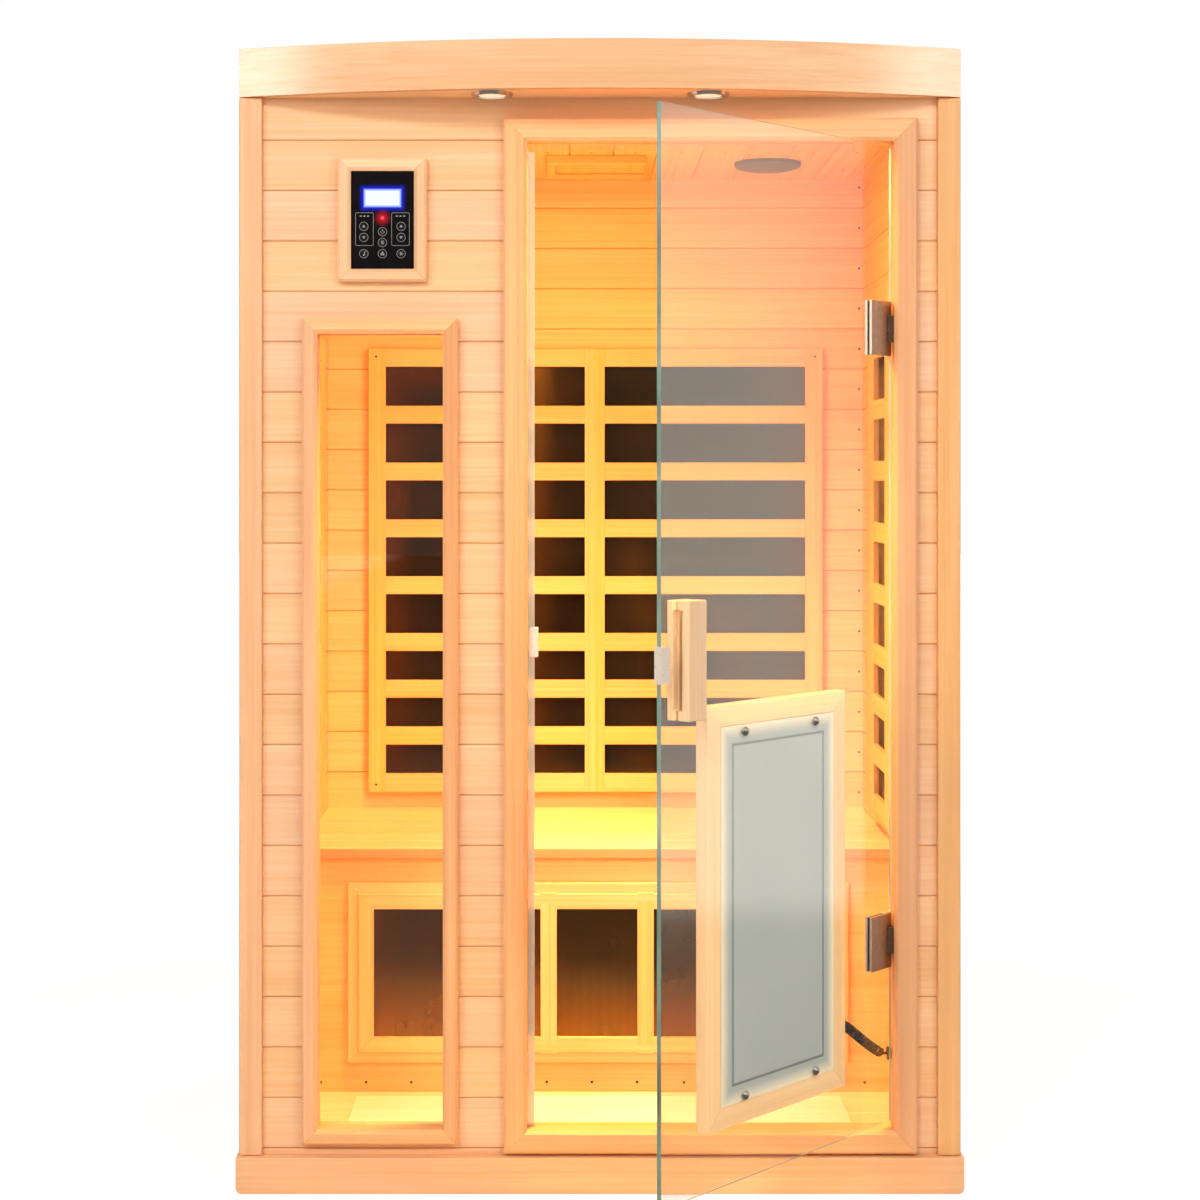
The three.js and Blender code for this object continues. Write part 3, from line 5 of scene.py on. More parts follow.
import bmesh
import bpy
from mathutils import Matrix, Vector
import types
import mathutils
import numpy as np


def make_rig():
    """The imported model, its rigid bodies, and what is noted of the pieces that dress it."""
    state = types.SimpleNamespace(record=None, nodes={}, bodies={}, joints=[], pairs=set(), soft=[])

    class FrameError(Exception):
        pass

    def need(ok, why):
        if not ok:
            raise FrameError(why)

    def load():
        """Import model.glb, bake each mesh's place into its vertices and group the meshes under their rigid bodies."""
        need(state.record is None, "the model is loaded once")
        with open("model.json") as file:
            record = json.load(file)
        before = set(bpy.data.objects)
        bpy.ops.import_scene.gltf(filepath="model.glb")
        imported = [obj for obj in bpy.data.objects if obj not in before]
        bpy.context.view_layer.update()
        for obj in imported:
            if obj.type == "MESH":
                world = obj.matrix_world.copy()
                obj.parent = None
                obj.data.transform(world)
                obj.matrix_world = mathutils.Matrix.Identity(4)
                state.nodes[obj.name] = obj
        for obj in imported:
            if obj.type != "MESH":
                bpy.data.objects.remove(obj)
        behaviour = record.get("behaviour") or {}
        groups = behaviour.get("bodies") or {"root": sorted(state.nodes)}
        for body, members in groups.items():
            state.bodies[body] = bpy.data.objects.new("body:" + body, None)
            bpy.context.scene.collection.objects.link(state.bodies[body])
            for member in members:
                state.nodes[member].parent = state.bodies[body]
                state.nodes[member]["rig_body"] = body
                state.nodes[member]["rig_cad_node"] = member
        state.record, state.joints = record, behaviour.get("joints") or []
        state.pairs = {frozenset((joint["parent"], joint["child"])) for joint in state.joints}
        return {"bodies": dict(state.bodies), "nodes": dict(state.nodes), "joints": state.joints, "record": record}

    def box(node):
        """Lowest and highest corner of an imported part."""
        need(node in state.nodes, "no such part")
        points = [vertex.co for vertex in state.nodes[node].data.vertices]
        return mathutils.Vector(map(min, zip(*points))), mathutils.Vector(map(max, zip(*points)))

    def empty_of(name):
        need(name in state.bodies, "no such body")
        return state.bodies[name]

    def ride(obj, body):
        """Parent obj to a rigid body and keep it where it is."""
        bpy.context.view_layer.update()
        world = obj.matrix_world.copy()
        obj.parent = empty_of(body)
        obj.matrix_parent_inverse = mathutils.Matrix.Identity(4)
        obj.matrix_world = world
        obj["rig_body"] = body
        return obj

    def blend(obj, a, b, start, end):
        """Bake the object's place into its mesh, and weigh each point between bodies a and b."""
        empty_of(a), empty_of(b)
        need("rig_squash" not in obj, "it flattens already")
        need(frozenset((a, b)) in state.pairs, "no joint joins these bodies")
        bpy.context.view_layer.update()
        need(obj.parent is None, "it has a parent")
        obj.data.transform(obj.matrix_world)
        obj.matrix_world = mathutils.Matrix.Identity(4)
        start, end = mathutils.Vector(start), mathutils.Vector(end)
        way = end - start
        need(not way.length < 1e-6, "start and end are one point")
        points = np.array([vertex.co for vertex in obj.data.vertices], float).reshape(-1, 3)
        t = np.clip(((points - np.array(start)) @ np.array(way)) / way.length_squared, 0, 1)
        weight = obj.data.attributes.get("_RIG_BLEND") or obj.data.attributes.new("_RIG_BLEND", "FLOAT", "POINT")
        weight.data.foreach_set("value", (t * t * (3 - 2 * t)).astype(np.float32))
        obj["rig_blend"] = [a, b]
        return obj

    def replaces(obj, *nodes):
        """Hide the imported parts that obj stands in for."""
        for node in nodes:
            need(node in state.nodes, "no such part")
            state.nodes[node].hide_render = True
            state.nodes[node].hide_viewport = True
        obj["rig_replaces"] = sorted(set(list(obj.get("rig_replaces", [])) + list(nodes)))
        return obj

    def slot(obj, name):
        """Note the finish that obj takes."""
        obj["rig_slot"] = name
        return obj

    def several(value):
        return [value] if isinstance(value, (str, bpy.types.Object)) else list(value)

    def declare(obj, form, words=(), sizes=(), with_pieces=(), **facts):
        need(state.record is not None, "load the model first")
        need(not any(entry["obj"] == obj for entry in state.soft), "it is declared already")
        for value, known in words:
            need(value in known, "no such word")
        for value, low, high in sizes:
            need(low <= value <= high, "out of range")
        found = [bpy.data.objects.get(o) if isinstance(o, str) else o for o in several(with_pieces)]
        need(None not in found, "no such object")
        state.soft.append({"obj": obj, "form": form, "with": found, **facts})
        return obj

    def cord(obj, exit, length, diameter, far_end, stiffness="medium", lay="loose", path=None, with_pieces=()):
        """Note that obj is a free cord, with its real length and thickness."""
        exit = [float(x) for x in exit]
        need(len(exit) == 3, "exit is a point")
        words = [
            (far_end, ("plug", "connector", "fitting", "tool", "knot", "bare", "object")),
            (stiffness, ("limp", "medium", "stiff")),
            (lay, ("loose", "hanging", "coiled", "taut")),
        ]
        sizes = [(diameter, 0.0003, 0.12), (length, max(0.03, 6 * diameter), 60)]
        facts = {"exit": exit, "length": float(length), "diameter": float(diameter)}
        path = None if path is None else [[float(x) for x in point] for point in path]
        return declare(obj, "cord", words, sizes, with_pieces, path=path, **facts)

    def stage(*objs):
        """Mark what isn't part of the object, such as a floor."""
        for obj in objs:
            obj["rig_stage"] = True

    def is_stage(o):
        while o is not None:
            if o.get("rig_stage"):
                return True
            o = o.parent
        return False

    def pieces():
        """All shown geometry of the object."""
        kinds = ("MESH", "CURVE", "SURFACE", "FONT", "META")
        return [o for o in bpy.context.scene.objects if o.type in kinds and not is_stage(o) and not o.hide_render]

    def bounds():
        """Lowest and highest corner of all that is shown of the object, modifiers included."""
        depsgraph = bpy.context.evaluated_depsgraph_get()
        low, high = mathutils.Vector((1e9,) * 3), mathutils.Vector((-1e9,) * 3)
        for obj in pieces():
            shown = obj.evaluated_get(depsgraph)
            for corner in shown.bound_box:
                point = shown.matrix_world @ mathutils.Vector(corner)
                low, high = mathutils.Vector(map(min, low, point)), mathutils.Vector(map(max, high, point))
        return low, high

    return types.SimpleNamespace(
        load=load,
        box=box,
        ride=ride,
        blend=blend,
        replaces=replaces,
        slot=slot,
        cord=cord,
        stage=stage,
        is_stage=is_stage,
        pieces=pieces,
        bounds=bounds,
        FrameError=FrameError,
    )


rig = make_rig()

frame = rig.load()
nodes = frame["nodes"]
cad_low, cad_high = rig.bounds()
scene = bpy.context.scene
MM = 0.001
FIT = 0.3 * MM

# Camera: level, with its picture shifted
PHOTO_SIZE = 1200
FOCAL_PIXELS = 2166
AXIS_PIXEL = (574, 478)
CAMERA_PLACE = (-0.043, -4.08, 1.187)
SENSOR = 36


def add_camera():
    data = bpy.data.cameras.new("camera")
    data.sensor_width = SENSOR
    data.lens = SENSOR * FOCAL_PIXELS / PHOTO_SIZE
    data.shift_x = 0.5 - AXIS_PIXEL[0] / PHOTO_SIZE
    data.shift_y = AXIS_PIXEL[1] / PHOTO_SIZE - 0.5
    camera = bpy.data.objects.new("camera", data)
    camera.location = CAMERA_PLACE
    camera.rotation_euler = (math.pi / 2, 0, 0)
    scene.collection.objects.link(camera)
    scene.camera = camera


# The door's own frame: u runs from the hinge axis to the free edge, n out of the glass
door_joint = next(j for j in frame["joints"] if j["name"] == "door_hinge")
hinge = Vector(door_joint["pos_m"])
DOOR_OPEN = -math.radians(door_joint["range_deg"][0])
door_turn = Matrix.Rotation(DOOR_OPEN, 3, "Z")
door_out = door_turn @ Vector((0, -1, 0))
GLASS_FACE = 4 * MM


def door_point(u, n, z):
    return hinge + door_turn @ Vector((-u, -n, z))


def door_span(node):
    """Lowest and highest (-u, -n, z) of a node on the door."""
    back = door_turn.inverted()
    places = [back @ (v.co - hinge) for v in nodes[node].data.vertices]
    low = Vector([min(p[i] for p in places) for i in range(3)])
    high = Vector([max(p[i] for p in places) for i in range(3)])
    return low, high


def middle_of(node):
    low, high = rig.box(node)
    return (low + high) / 2


# Meshes

def from_bmesh(name, bm, material, body, smooth=False):
    bmesh.ops.recalc_face_normals(bm, faces=bm.faces)
    data = bpy.data.meshes.new(name)
    bm.to_mesh(data)
    bm.free()
    for polygon in data.polygons:
        polygon.use_smooth = smooth
    obj = bpy.data.objects.new(name, data)
    scene.collection.objects.link(obj)
    obj.data.materials.append(material)
    if body:
        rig.ride(obj, body)
    return obj


def add_turned(bm, profile, centre, axis, steps=24):
    """A profile of (radius, height) points turned about an axis; points on the axis close it."""
    turn = Vector((0, 0, 1)).rotation_difference(Vector(axis)).to_matrix()
    rings = []
    for radius, height in profile:
        count = steps if radius > 0 else 1
        ring = []
        for k in range(count):
            angle = 2 * math.pi * k / steps
            spot = Vector((radius * math.cos(angle), radius * math.sin(angle), height))
            ring.append(bm.verts.new(Vector(centre) + turn @ spot))
        rings.append(ring)
    for low, high in zip(rings, rings[1:]):
        for k in range(steps):
            a, b = low[k % len(low)], low[(k + 1) % len(low)]
            c, d = high[(k + 1) % len(high)], high[k % len(high)]
            corners = list(dict.fromkeys((a, b, c, d)))
            if len(corners) > 2:
                bm.faces.new(corners)


def add_outline(bm, points, place, depth):
    """A flat outline of (across, up) points raised by depth; place puts (across, up, out) in space."""
    front = [bm.verts.new(place(a, b, depth)) for a, b in points]
    rear = [bm.verts.new(place(a, b, 0)) for a, b in points]
    bm.faces.new(front)
    bm.faces.new(rear[::-1])
    for k in range(len(points)):
        j = (k + 1) % len(points)
        bm.faces.new((front[k], rear[k], rear[j], front[j]))


def add_band(bm, inner, outer, place, depth):
    """A closed band between two outlines with the same number of points."""
    def loop(line, height):
        return [bm.verts.new(place(a, b, height)) for a, b in line]

    inner_low = loop(inner, 0)
    inner_high = loop(inner, depth)
    outer_low = loop(outer, 0)
    outer_high = loop(outer, depth)
    for k in range(len(inner)):
        j = (k + 1) % len(inner)
        bm.faces.new((inner_high[k], inner_high[j], outer_high[j], outer_high[k]))
        bm.faces.new((inner_low[j], inner_low[k], outer_low[k], outer_low[j]))
        bm.faces.new((inner_low[k], inner_low[j], inner_high[j], inner_high[k]))
        bm.faces.new((outer_low[j], outer_low[k], outer_high[k], outer_high[j]))


def circle_points(centre, radius, steps):
    angles = [2 * math.pi * k / steps for k in range(steps)]
    return [(centre[0] + radius * math.cos(t), centre[1] + radius * math.sin(t)) for t in angles]


def rounded_rectangle(centre, width, height, radius, steps=4):
    points = []
    for quarter, (sx, sz) in enumerate(((1, 1), (-1, 1), (-1, -1), (1, -1))):
        corner = (centre[0] + sx * (width / 2 - radius), centre[1] + sz * (height / 2 - radius))
        arc = [math.pi / 2 * (quarter + k / steps) for k in range(steps + 1)]
        points += [(corner[0] + radius * math.cos(t), corner[1] + radius * math.sin(t)) for t in arc]
    return points


# Material nodes

class Nodes:
    """Adds nodes to a tree; a value that is a socket is linked, and any other one is set."""

    def __init__(self, tree):
        self.tree = tree

    def add(self, kind):
        return self.tree.nodes.new("ShaderNode" + kind)

    def put(self, socket, value):
        if isinstance(value, bpy.types.NodeSocket):
            self.tree.links.new(value, socket)
        else:
            socket.default_value = value

    def fill(self, sockets, values):
        for socket, value in zip(sockets, values):
            self.put(socket, value)

    def math(self, operation, *values):
        node = self.add("Math")
        node.operation = operation
        self.fill(node.inputs, values)
        return node.outputs[0]

    def past(self, value, middle, half):
        """How far a value lies past half a width from a middle; inside it, below zero."""
        off = self.math("ABSOLUTE", self.math("SUBTRACT", value, middle))
        return self.math("SUBTRACT", off, half)

    def length(self, a, b):
        squares = self.math("ADD", self.math("MULTIPLY", a, a), self.math("MULTIPLY", b, b))
        return self.math("SQRT", squares)

    def mix(self, factor, a, b, blend="MIX"):
        node = self.add("Mix")
        node.data_type = "RGBA"
        node.blend_type = blend
        self.put(node.inputs[0], factor)
        self.put(node.inputs[6], a)
        self.put(node.inputs[7], b)
        return node.outputs[2]

    def blend(self, factor, a, b):
        node = self.add("Mix")
        self.put(node.inputs[0], factor)
        self.put(node.inputs[2], a)
        self.put(node.inputs[3], b)
        return node.outputs[0]

    def ramp(self, value, low, high, to_low=0.0, to_high=1.0):
        node = self.add("MapRange")
        self.fill(node.inputs, (value, low, high, to_low, to_high))
        return node.outputs[0]

    def combine(self, x, y, z):
        node = self.add("CombineXYZ")
        self.fill(node.inputs, (x, y, z))
        return node.outputs[0]

    def separate(self, vector):
        node = self.add("SeparateXYZ")
        self.put(node.inputs[0], vector)
        return tuple(node.outputs)

    def any_ray(self, *kinds):
        """1 for rays of the given kinds; through glass, only for those that nothing mirrored before."""
        path = self.add("LightPath")
        direct = self.math("LESS_THAN", path.outputs["Glossy Depth"], 0.5)
        total = None
        for kind in kinds:
            ray = path.outputs[kind]
            if kind == "Is Transmission Ray":
                ray = self.math("MULTIPLY", ray, direct)
            total = self.math("MAXIMUM", total, ray) if total else ray
        return total


class Graph(Nodes):
    """A material's nodes around one Principled shader."""

    def __init__(self, name):
        self.material = bpy.data.materials.new(name)
        self.material.use_nodes = True
        super().__init__(self.material.node_tree)
        self.tree.nodes.clear()
        self.output = self.add("OutputMaterial")
        self.shader = self.add("BsdfPrincipled")
        self.put(self.output.inputs["Surface"], self.shader.outputs[0])

    def set(self, **values):
        """Sets the shader's inputs, each named in lower case with underscores."""
        for name, value in values.items():
            title = name.replace("_", " ").title().replace("Ior", "IOR")
            self.put(self.shader.inputs[title], value)

    def coordinates(self, on_door=False):
        """The object's own X, Y and Z; on the door, (-u, -n, z) from the hinge axis."""
        where = self.add("TexCoord").outputs["Object"]
        if on_door:
            node = self.add("Mapping")
            node.inputs["Rotation"].default_value = (0, 0, -DOOR_OPEN)
            node.inputs["Location"].default_value = -(door_turn.inverted() @ hinge)
            self.put(node.inputs["Vector"], where)
            where = node.outputs[0]
        return self.separate(where)

    def normal_along(self, direction):
        """The cosine between the object's own normal and a direction."""
        node = self.add("VectorMath")
        node.operation = "DOT_PRODUCT"
        self.put(node.inputs[0], self.add("TexCoord").outputs["Normal"])
        node.inputs[1].default_value = direction
        return node.outputs["Value"]

    def noise(self, vector, scale=1.0, detail=2.0, roughness=0.5, distortion=0.0):
        node = self.add("TexNoise")
        given = {
            "Vector": vector,
            "Scale": scale,
            "Detail": detail,
            "Roughness": roughness,
            "Distortion": distortion,
        }
        for name, value in given.items():
            self.put(node.inputs[name], value)
        return node.outputs[0]

    def random(self, vector):
        node = self.add("TexWhiteNoise")
        self.put(node.inputs["Vector"], vector)
        return node.outputs["Value"]

    def bump(self, height, strength, distance):
        node = self.add("Bump")
        node.inputs["Strength"].default_value = strength
        node.inputs["Distance"].default_value = distance
        self.put(node.inputs["Height"], height)
        self.put(self.shader.inputs["Normal"], node.outputs[0])

    def mix_shaders(self, factor, a, b):
        """The surface goes over from one shader to another."""
        node = self.add("MixShader")
        self.fill(node.inputs, (factor, a, b))
        self.put(self.output.inputs["Surface"], node.outputs[0])


def linear(value):
    share = value / 255
    return share / 12.92 if share <= 0.04045 else ((share + 0.055) / 1.055) ** 2.4


def rgb(red, green, blue):
    """A linear colour from the 0-255 values that a picture shows."""
    return (linear(red), linear(green), linear(blue), 1)


# Wood, each kind with its pale and its tan tone

BOARD = (rgb(250, 205, 160), rgb(240, 182, 132))
POST = (rgb(248, 196, 144), rgb(236, 170, 114))
TRIM = (rgb(245, 188, 134), rgb(230, 160, 106))
INNER = (rgb(250, 200, 140), rgb(238, 172, 108))
WORN_FLOOR = (rgb(253, 230, 192), rgb(248, 216, 174))
SEAT = (rgb(253, 220, 176), rgb(246, 202, 152))
HEATER_COVER = (rgb(252, 246, 226), rgb(244, 234, 208))
# Paler wood for the door heater frame: a painted veil of the light that the door glass in front of it reflects
PAINTED_VEIL_WOOD = (rgb(251, 214, 168), rgb(243, 196, 146))
GRIP = (rgb(253, 218, 180), rgb(247, 200, 154))

AXES = "XYZ"
NOISE_SPAN = (0.3, 0.7)
BOARD_PITCH = 84 * MM
FIRST_JOINT = 70 * MM
ONE_PLANK = 50.0  # wider than any piece
JOINT_LINE = 1.2 * MM
JOINT_TONE = (0.6, 0.45, 0.34, 1)
MITRE_LINE = 0.45 * MM
MITRE_TONE = (0.42, 0.3, 0.2, 1)
GAP_TONE = (0.5, 0.36, 0.26, 1)
PORE_TONE = (0.7, 0.5, 0.36, 1)

# Streaks in the wood: per metre along and across the grain, detail and distortion
BROAD_STREAKS = (1.3, 24.0, 2.0, 0.4)
FINE_LINES = (1.1, 150.0, 3.0, 0.25)
PORES = (16.0, 900.0, 2.0, 0.0)
STREAK_DEPTH = 0.4
STREAK_SPAN = (0.34, 0.68)
PORE_SPAN = (0.5, 0.75)
PORE_SHARE = 0.12

# How the members differ: their grain is moved, and their tone drawn between two ends
MEMBER_SLIDE = 37.0
MEMBER_SHIFT = 11.0
MEMBER_HUE = (0.497, 0.503)
MEMBER_SATURATION = (0.95, 1.06)
MEMBER_VALUE = (0.96, 1.03)
# Painted light and shade on mitred frames: how much paler the bottom and top rails are where light falls on them, and
# how much paler the left uprights and darker the right ones are
SILL_PAINTED_LIGHT = 0.03
HEAD_PAINTED_LIGHT = 0.18
SIDE_PAINTED_SHADE = -0.05
SLATS_PER_METRE = 10.0
STILE_STEP = 40.0
UPRIGHT_STEP = 5.0
WOOD_ROUGHNESS = (0.42, 0.58)
WOOD_RELIEF = 0.5 * MM
VARNISH_ROUGHNESS = 0.22


def grain(graph, along, across, depth, member, wood, painted_light=0.0):
    """Hemlock: long streaks and fine lines along each member, and a tone of its own for each one."""
    shade = graph.random(graph.combine(member, 3.7, 1.3))
    slide = graph.random(graph.combine(member, 9.1, 5.9))
    a = graph.math("ADD", along, graph.math("MULTIPLY", slide, MEMBER_SLIDE))
    c = graph.math("ADD", across, graph.math("MULTIPLY", shade, MEMBER_SHIFT))

    def streaks(per_along, per_across, detail, distortion):
        vector = graph.combine(
            graph.math("MULTIPLY", a, per_along),
            graph.math("MULTIPLY", c, per_across),
            graph.math("MULTIPLY", depth, per_across * STREAK_DEPTH),
        )
        return graph.noise(vector, detail=detail, roughness=0.6, distortion=distortion)

    def halves(first, second):
        return graph.math("ADD", graph.math("MULTIPLY", first, 0.5), graph.math("MULTIPLY", second, 0.5))

    broad = streaks(*BROAD_STREAKS)
    lines = streaks(*FINE_LINES)
    pores = streaks(*PORES)
    colour = graph.mix(graph.ramp(halves(broad, lines), *STREAK_SPAN), *wood)
    dotted = graph.mix(1.0, colour, PORE_TONE, "MULTIPLY")
    colour = graph.mix(graph.ramp(pores, *PORE_SPAN, 0.0, PORE_SHARE), colour, dotted)
    tint = graph.add("HueSaturation")
    graph.put(tint.inputs["Hue"], graph.ramp(slide, 0.0, 1.0, *MEMBER_HUE))
    graph.put(tint.inputs["Saturation"], graph.ramp(slide, 0.0, 1.0, *MEMBER_SATURATION))
    value = graph.ramp(shade, 0.0, 1.0, *MEMBER_VALUE)
    # The last argument paints light and shade into the member's tone
    graph.put(tint.inputs["Value"], graph.math("ADD", value, painted_light))
    graph.put(tint.inputs["Color"], colour)
    graph.set(roughness=graph.ramp(lines, *NOISE_SPAN, *WOOD_ROUGHNESS), specular_ior_level=0.35)
    graph.bump(halves(lines, pores), 0.14, WOOD_RELIEF)
    return tint.outputs[0]


def darken(graph, colour, distance, width, tone):
    """A thin dark line where a distance is near zero."""
    near = graph.ramp(graph.math("ABSOLUTE", distance), 0.0, width, 1.0, 0.0)
    return graph.mix(near, colour, graph.mix(1.0, colour, tone, "MULTIPLY"))


def board_wood(name, along, across, first=None, wood=BOARD, seed=0.0, coat=0.0):
    """Boards side by side, with a joint at each pitch; with no first joint, one plank. coat is the
    weight of a clear varnish."""
    graph = Graph(name)
    graph.set(coat_weight=coat, coat_roughness=VARNISH_ROUGHNESS)
    place = dict(zip(AXES, graph.coordinates()))
    depth = place[next(axis for axis in AXES if axis not in (along, across))]
    pitch = ONE_PLANK if first is None else BOARD_PITCH
    count = graph.math("DIVIDE", graph.math("SUBTRACT", place[across], first or 0.0), pitch)
    member = graph.math("ADD", graph.math("FLOOR", count), seed)
    colour = grain(graph, place[along], place[across], depth, member, wood)
    if first is not None:
        edge = graph.math("SUBTRACT", count, graph.math("ROUND", count))
        edge = graph.math("MULTIPLY", edge, BOARD_PITCH)
        colour = darken(graph, colour, edge, JOINT_LINE, JOINT_TONE)
    graph.set(base_color=colour)
    return graph.material


def framed_wood(name, low, high, wood=TRIM, on_door=False, seed=0.0, stile=None, head=HEAD_PAINTED_LIGHT):
    """A mitred frame seen in X and Z: its uprights and rails each have their own grain, with painted light over it:
    the top rail paler and the bottom rail a little paler where light falls on them, the left upright paler and the
    right one darker in painted shade. stile is the (distance from the middle, half width, rail height) of a pair of
    upright bars inside it, and head is how much paler the painted light makes its top rail."""
    graph = Graph(name)
    x, y, z = graph.coordinates(on_door)
    middle, reach = (low + high) / 2, (high - low) / 2
    dx = graph.math("SUBTRACT", x, middle.x)
    dz = graph.math("SUBTRACT", z, middle.z)
    side = graph.math("SUBTRACT", graph.math("ABSOLUTE", dx), reach.x)
    end = graph.math("SUBTRACT", graph.math("ABSOLUTE", dz), reach.z)
    mitre = graph.math("SUBTRACT", side, end)
    upright = graph.math("GREATER_THAN", mitre, 0.0)
    if stile:
        from_middle, half_width, rail = stile
        on_bar = graph.past(graph.math("ABSOLUTE", dx), from_middle, half_width)
        bar_mask = graph.math(
            "MULTIPLY",
            graph.math("LESS_THAN", end, -rail),
            graph.math("LESS_THAN", on_bar, 0.0),
        )
        upright = graph.math("MAXIMUM", upright, bar_mask)
    sign = graph.blend(upright, graph.math("SIGN", dz), graph.math("SIGN", dx))
    step = graph.math("MULTIPLY", upright, UPRIGHT_STEP)
    member = graph.math("ADD", step, graph.math("ADD", sign, seed))
    # Painted light: the top rail paler by head, the bottom rail by the sill share; the uprights paler on the left and
    # darker on the right
    rails = graph.ramp(sign, -1.0, 1.0, SILL_PAINTED_LIGHT, head)
    painted_light = graph.blend(upright, rails, graph.math("MULTIPLY", sign, SIDE_PAINTED_SHADE))
    along = graph.blend(upright, x, z)
    across = graph.blend(upright, z, x)
    colour = grain(graph, along, across, y, member, wood, painted_light)
    graph.set(base_color=darken(graph, colour, mitre, MITRE_LINE, MITRE_TONE))
    return graph.material


def guard_wood(name, axis, middle, gap, centre, seed):
    """A guard of slats between stiles: the grain is upright outside its two columns of gaps. gap is
    a column's width and centre its distance from the middle."""
    graph = Graph(name)
    x, y, z = graph.coordinates()
    over, depth = (x, y) if axis == "X" else (y, x)
    beside = graph.math("SUBTRACT", over, middle)
    off = graph.math("ABSOLUTE", beside)
    edge = graph.past(off, centre, gap / 2)
    upright = graph.math("GREATER_THAN", edge, 0.0)
    row = graph.math("FLOOR", graph.math("MULTIPLY", z, SLATS_PER_METRE))
    post = graph.math("ADD", graph.math("SIGN", beside), graph.math("GREATER_THAN", off, centre))
    post = graph.math("MULTIPLY", post, STILE_STEP)
    member = graph.math("ADD", graph.blend(upright, row, post), seed)
    along = graph.blend(upright, over, z)
    across = graph.blend(upright, z, over)
    colour = grain(graph, along, across, depth, member, INNER)
    graph.set(base_color=darken(graph, colour, edge, MITRE_LINE, GAP_TONE))
    return graph.material


# Other finishes

FINE_RELIEF = 0.3 * MM


def mottled(name, colour, other, per_metre, roughness, metallic=0.0, bump=0.05, **more):
    """A surface whose tone and gloss drift a little over it; more holds further shader inputs."""
    graph = Graph(name)
    drift = graph.noise(graph.combine(*graph.coordinates()), scale=per_metre, detail=4.0)
    dulled = graph.ramp(drift, *NOISE_SPAN, roughness * 0.85, roughness * 1.15)
    graph.set(base_color=graph.mix(drift, colour, other), roughness=dulled, metallic=metallic, **more)
    graph.bump(drift, bump, FINE_RELIEF)
    return graph.material


def glowing(name, colour, strength, tint):
    """A lit diffuser, a little dimmer in patches."""
    graph = Graph(name)
    drift = graph.noise(graph.combine(*graph.coordinates()), scale=120.0)
    lit = graph.mix(drift, colour, tint)
    graph.set(base_color=lit, emission_color=lit, emission_strength=strength, roughness=0.4)
    return graph.material


GLASS_EDGE = rgb(92, 128, 114)
GLASS_EDGE_PALE = rgb(164, 204, 188)
GLASS_PALE = rgb(255, 252, 243)
GLASS_SHADE = (0.82, 0.76, 0.66, 1)
# Painted reflection on the door glass: a pale share of its surface, which lets no light through, stands in for the
# veil of light that it reflects, least near the hinges and at the foot
CLEAR_NEAR = 90 * MM
PAINTED_VEIL_FROM = 300 * MM
PAINTED_VEIL_ABOVE = (450 * MM, 600 * MM)
PAINTED_VEIL_LEAST = 0.2
EDGE_ROUGHNESS = 0.3
EDGE_CLARITY = 0.35
SMEAR_ROUGHNESS = 0.02
DOOR_PAINTED_VEIL = 0.05


def clear_glass(name, out, painted_veil, on_door=False):
    """Tempered glass with green ground edges, which lets lamp light straight through. out is the pane's normal
    and haze the pale share of its surface that scatters light instead of letting it through, which paints a veil of
    reflected light; on a door, this painted reflection fades towards its hinges and its foot."""
    graph = Graph(name)
    x, y, z = graph.coordinates(on_door)
    clarity = 1.0 - painted_veil
    # Painted reflection: the pale veil fades towards the hinges and towards the foot
    if on_door:
        across = graph.ramp(x, -CLEAR_NEAR, -PAINTED_VEIL_FROM, PAINTED_VEIL_LEAST, 1.0)
        up = graph.ramp(z, *PAINTED_VEIL_ABOVE, PAINTED_VEIL_LEAST * painted_veil, painted_veil)
        clarity = graph.math("SUBTRACT", 1.0, graph.math("MULTIPLY", across, up))
    edge = graph.math("LESS_THAN", graph.math("ABSOLUTE", graph.normal_along(out)), 0.5)
    smear = graph.noise(graph.combine(x, y, graph.math("MULTIPLY", z, 0.4)), scale=7.0, detail=3.0)
    smeared = graph.ramp(smear, *NOISE_SPAN, 0.0, SMEAR_ROUGHNESS)
    band = graph.noise(graph.combine(0.0, 0.0, z), scale=5.0, detail=3.0)
    green = graph.mix(graph.ramp(band, 0.35, 0.65), GLASS_EDGE, GLASS_EDGE_PALE)
    graph.set(
        base_color=graph.mix(edge, GLASS_PALE, green),
        roughness=graph.math("ADD", graph.math("MULTIPLY", edge, EDGE_ROUGHNESS), smeared),
        transmission_weight=graph.blend(edge, clarity, EDGE_CLARITY),
        ior=1.5,
        specular_ior_level=0.5,
    )
    clear = graph.add("BsdfTransparent")
    clear.inputs[0].default_value = GLASS_SHADE
    path = graph.add("LightPath")
    graph.mix_shaders(path.outputs["Is Shadow Ray"], graph.shader.outputs[0], clear.outputs[0])
    return graph.material


SEAL_HEAD = 14 * MM


def seal_finish(name, head):
    """Clear soft plastic, milkier below its head strip."""
    graph = Graph(name)
    x, y, z = graph.coordinates()
    cloud = graph.noise(graph.combine(x, y, z), scale=60.0, detail=3.0)
    milky = graph.math("LESS_THAN", z, head)
    graph.set(
        base_color=graph.mix(cloud, rgb(250, 252, 244), rgb(238, 241, 228)),
        roughness=graph.blend(milky, 0.02, graph.ramp(cloud, *NOISE_SPAN, 0.06, 0.14)),
        transmission_weight=graph.blend(milky, 0.96, 0.55),
        ior=1.3,
    )
    return graph.material


STRIP_PITCH = 18 * MM
# Width of the fade at the edge of the calf heater's painted reflection
PAINTED_REFLECTION_FADE = 25 * MM
MIRROR_SHARE = 0.97


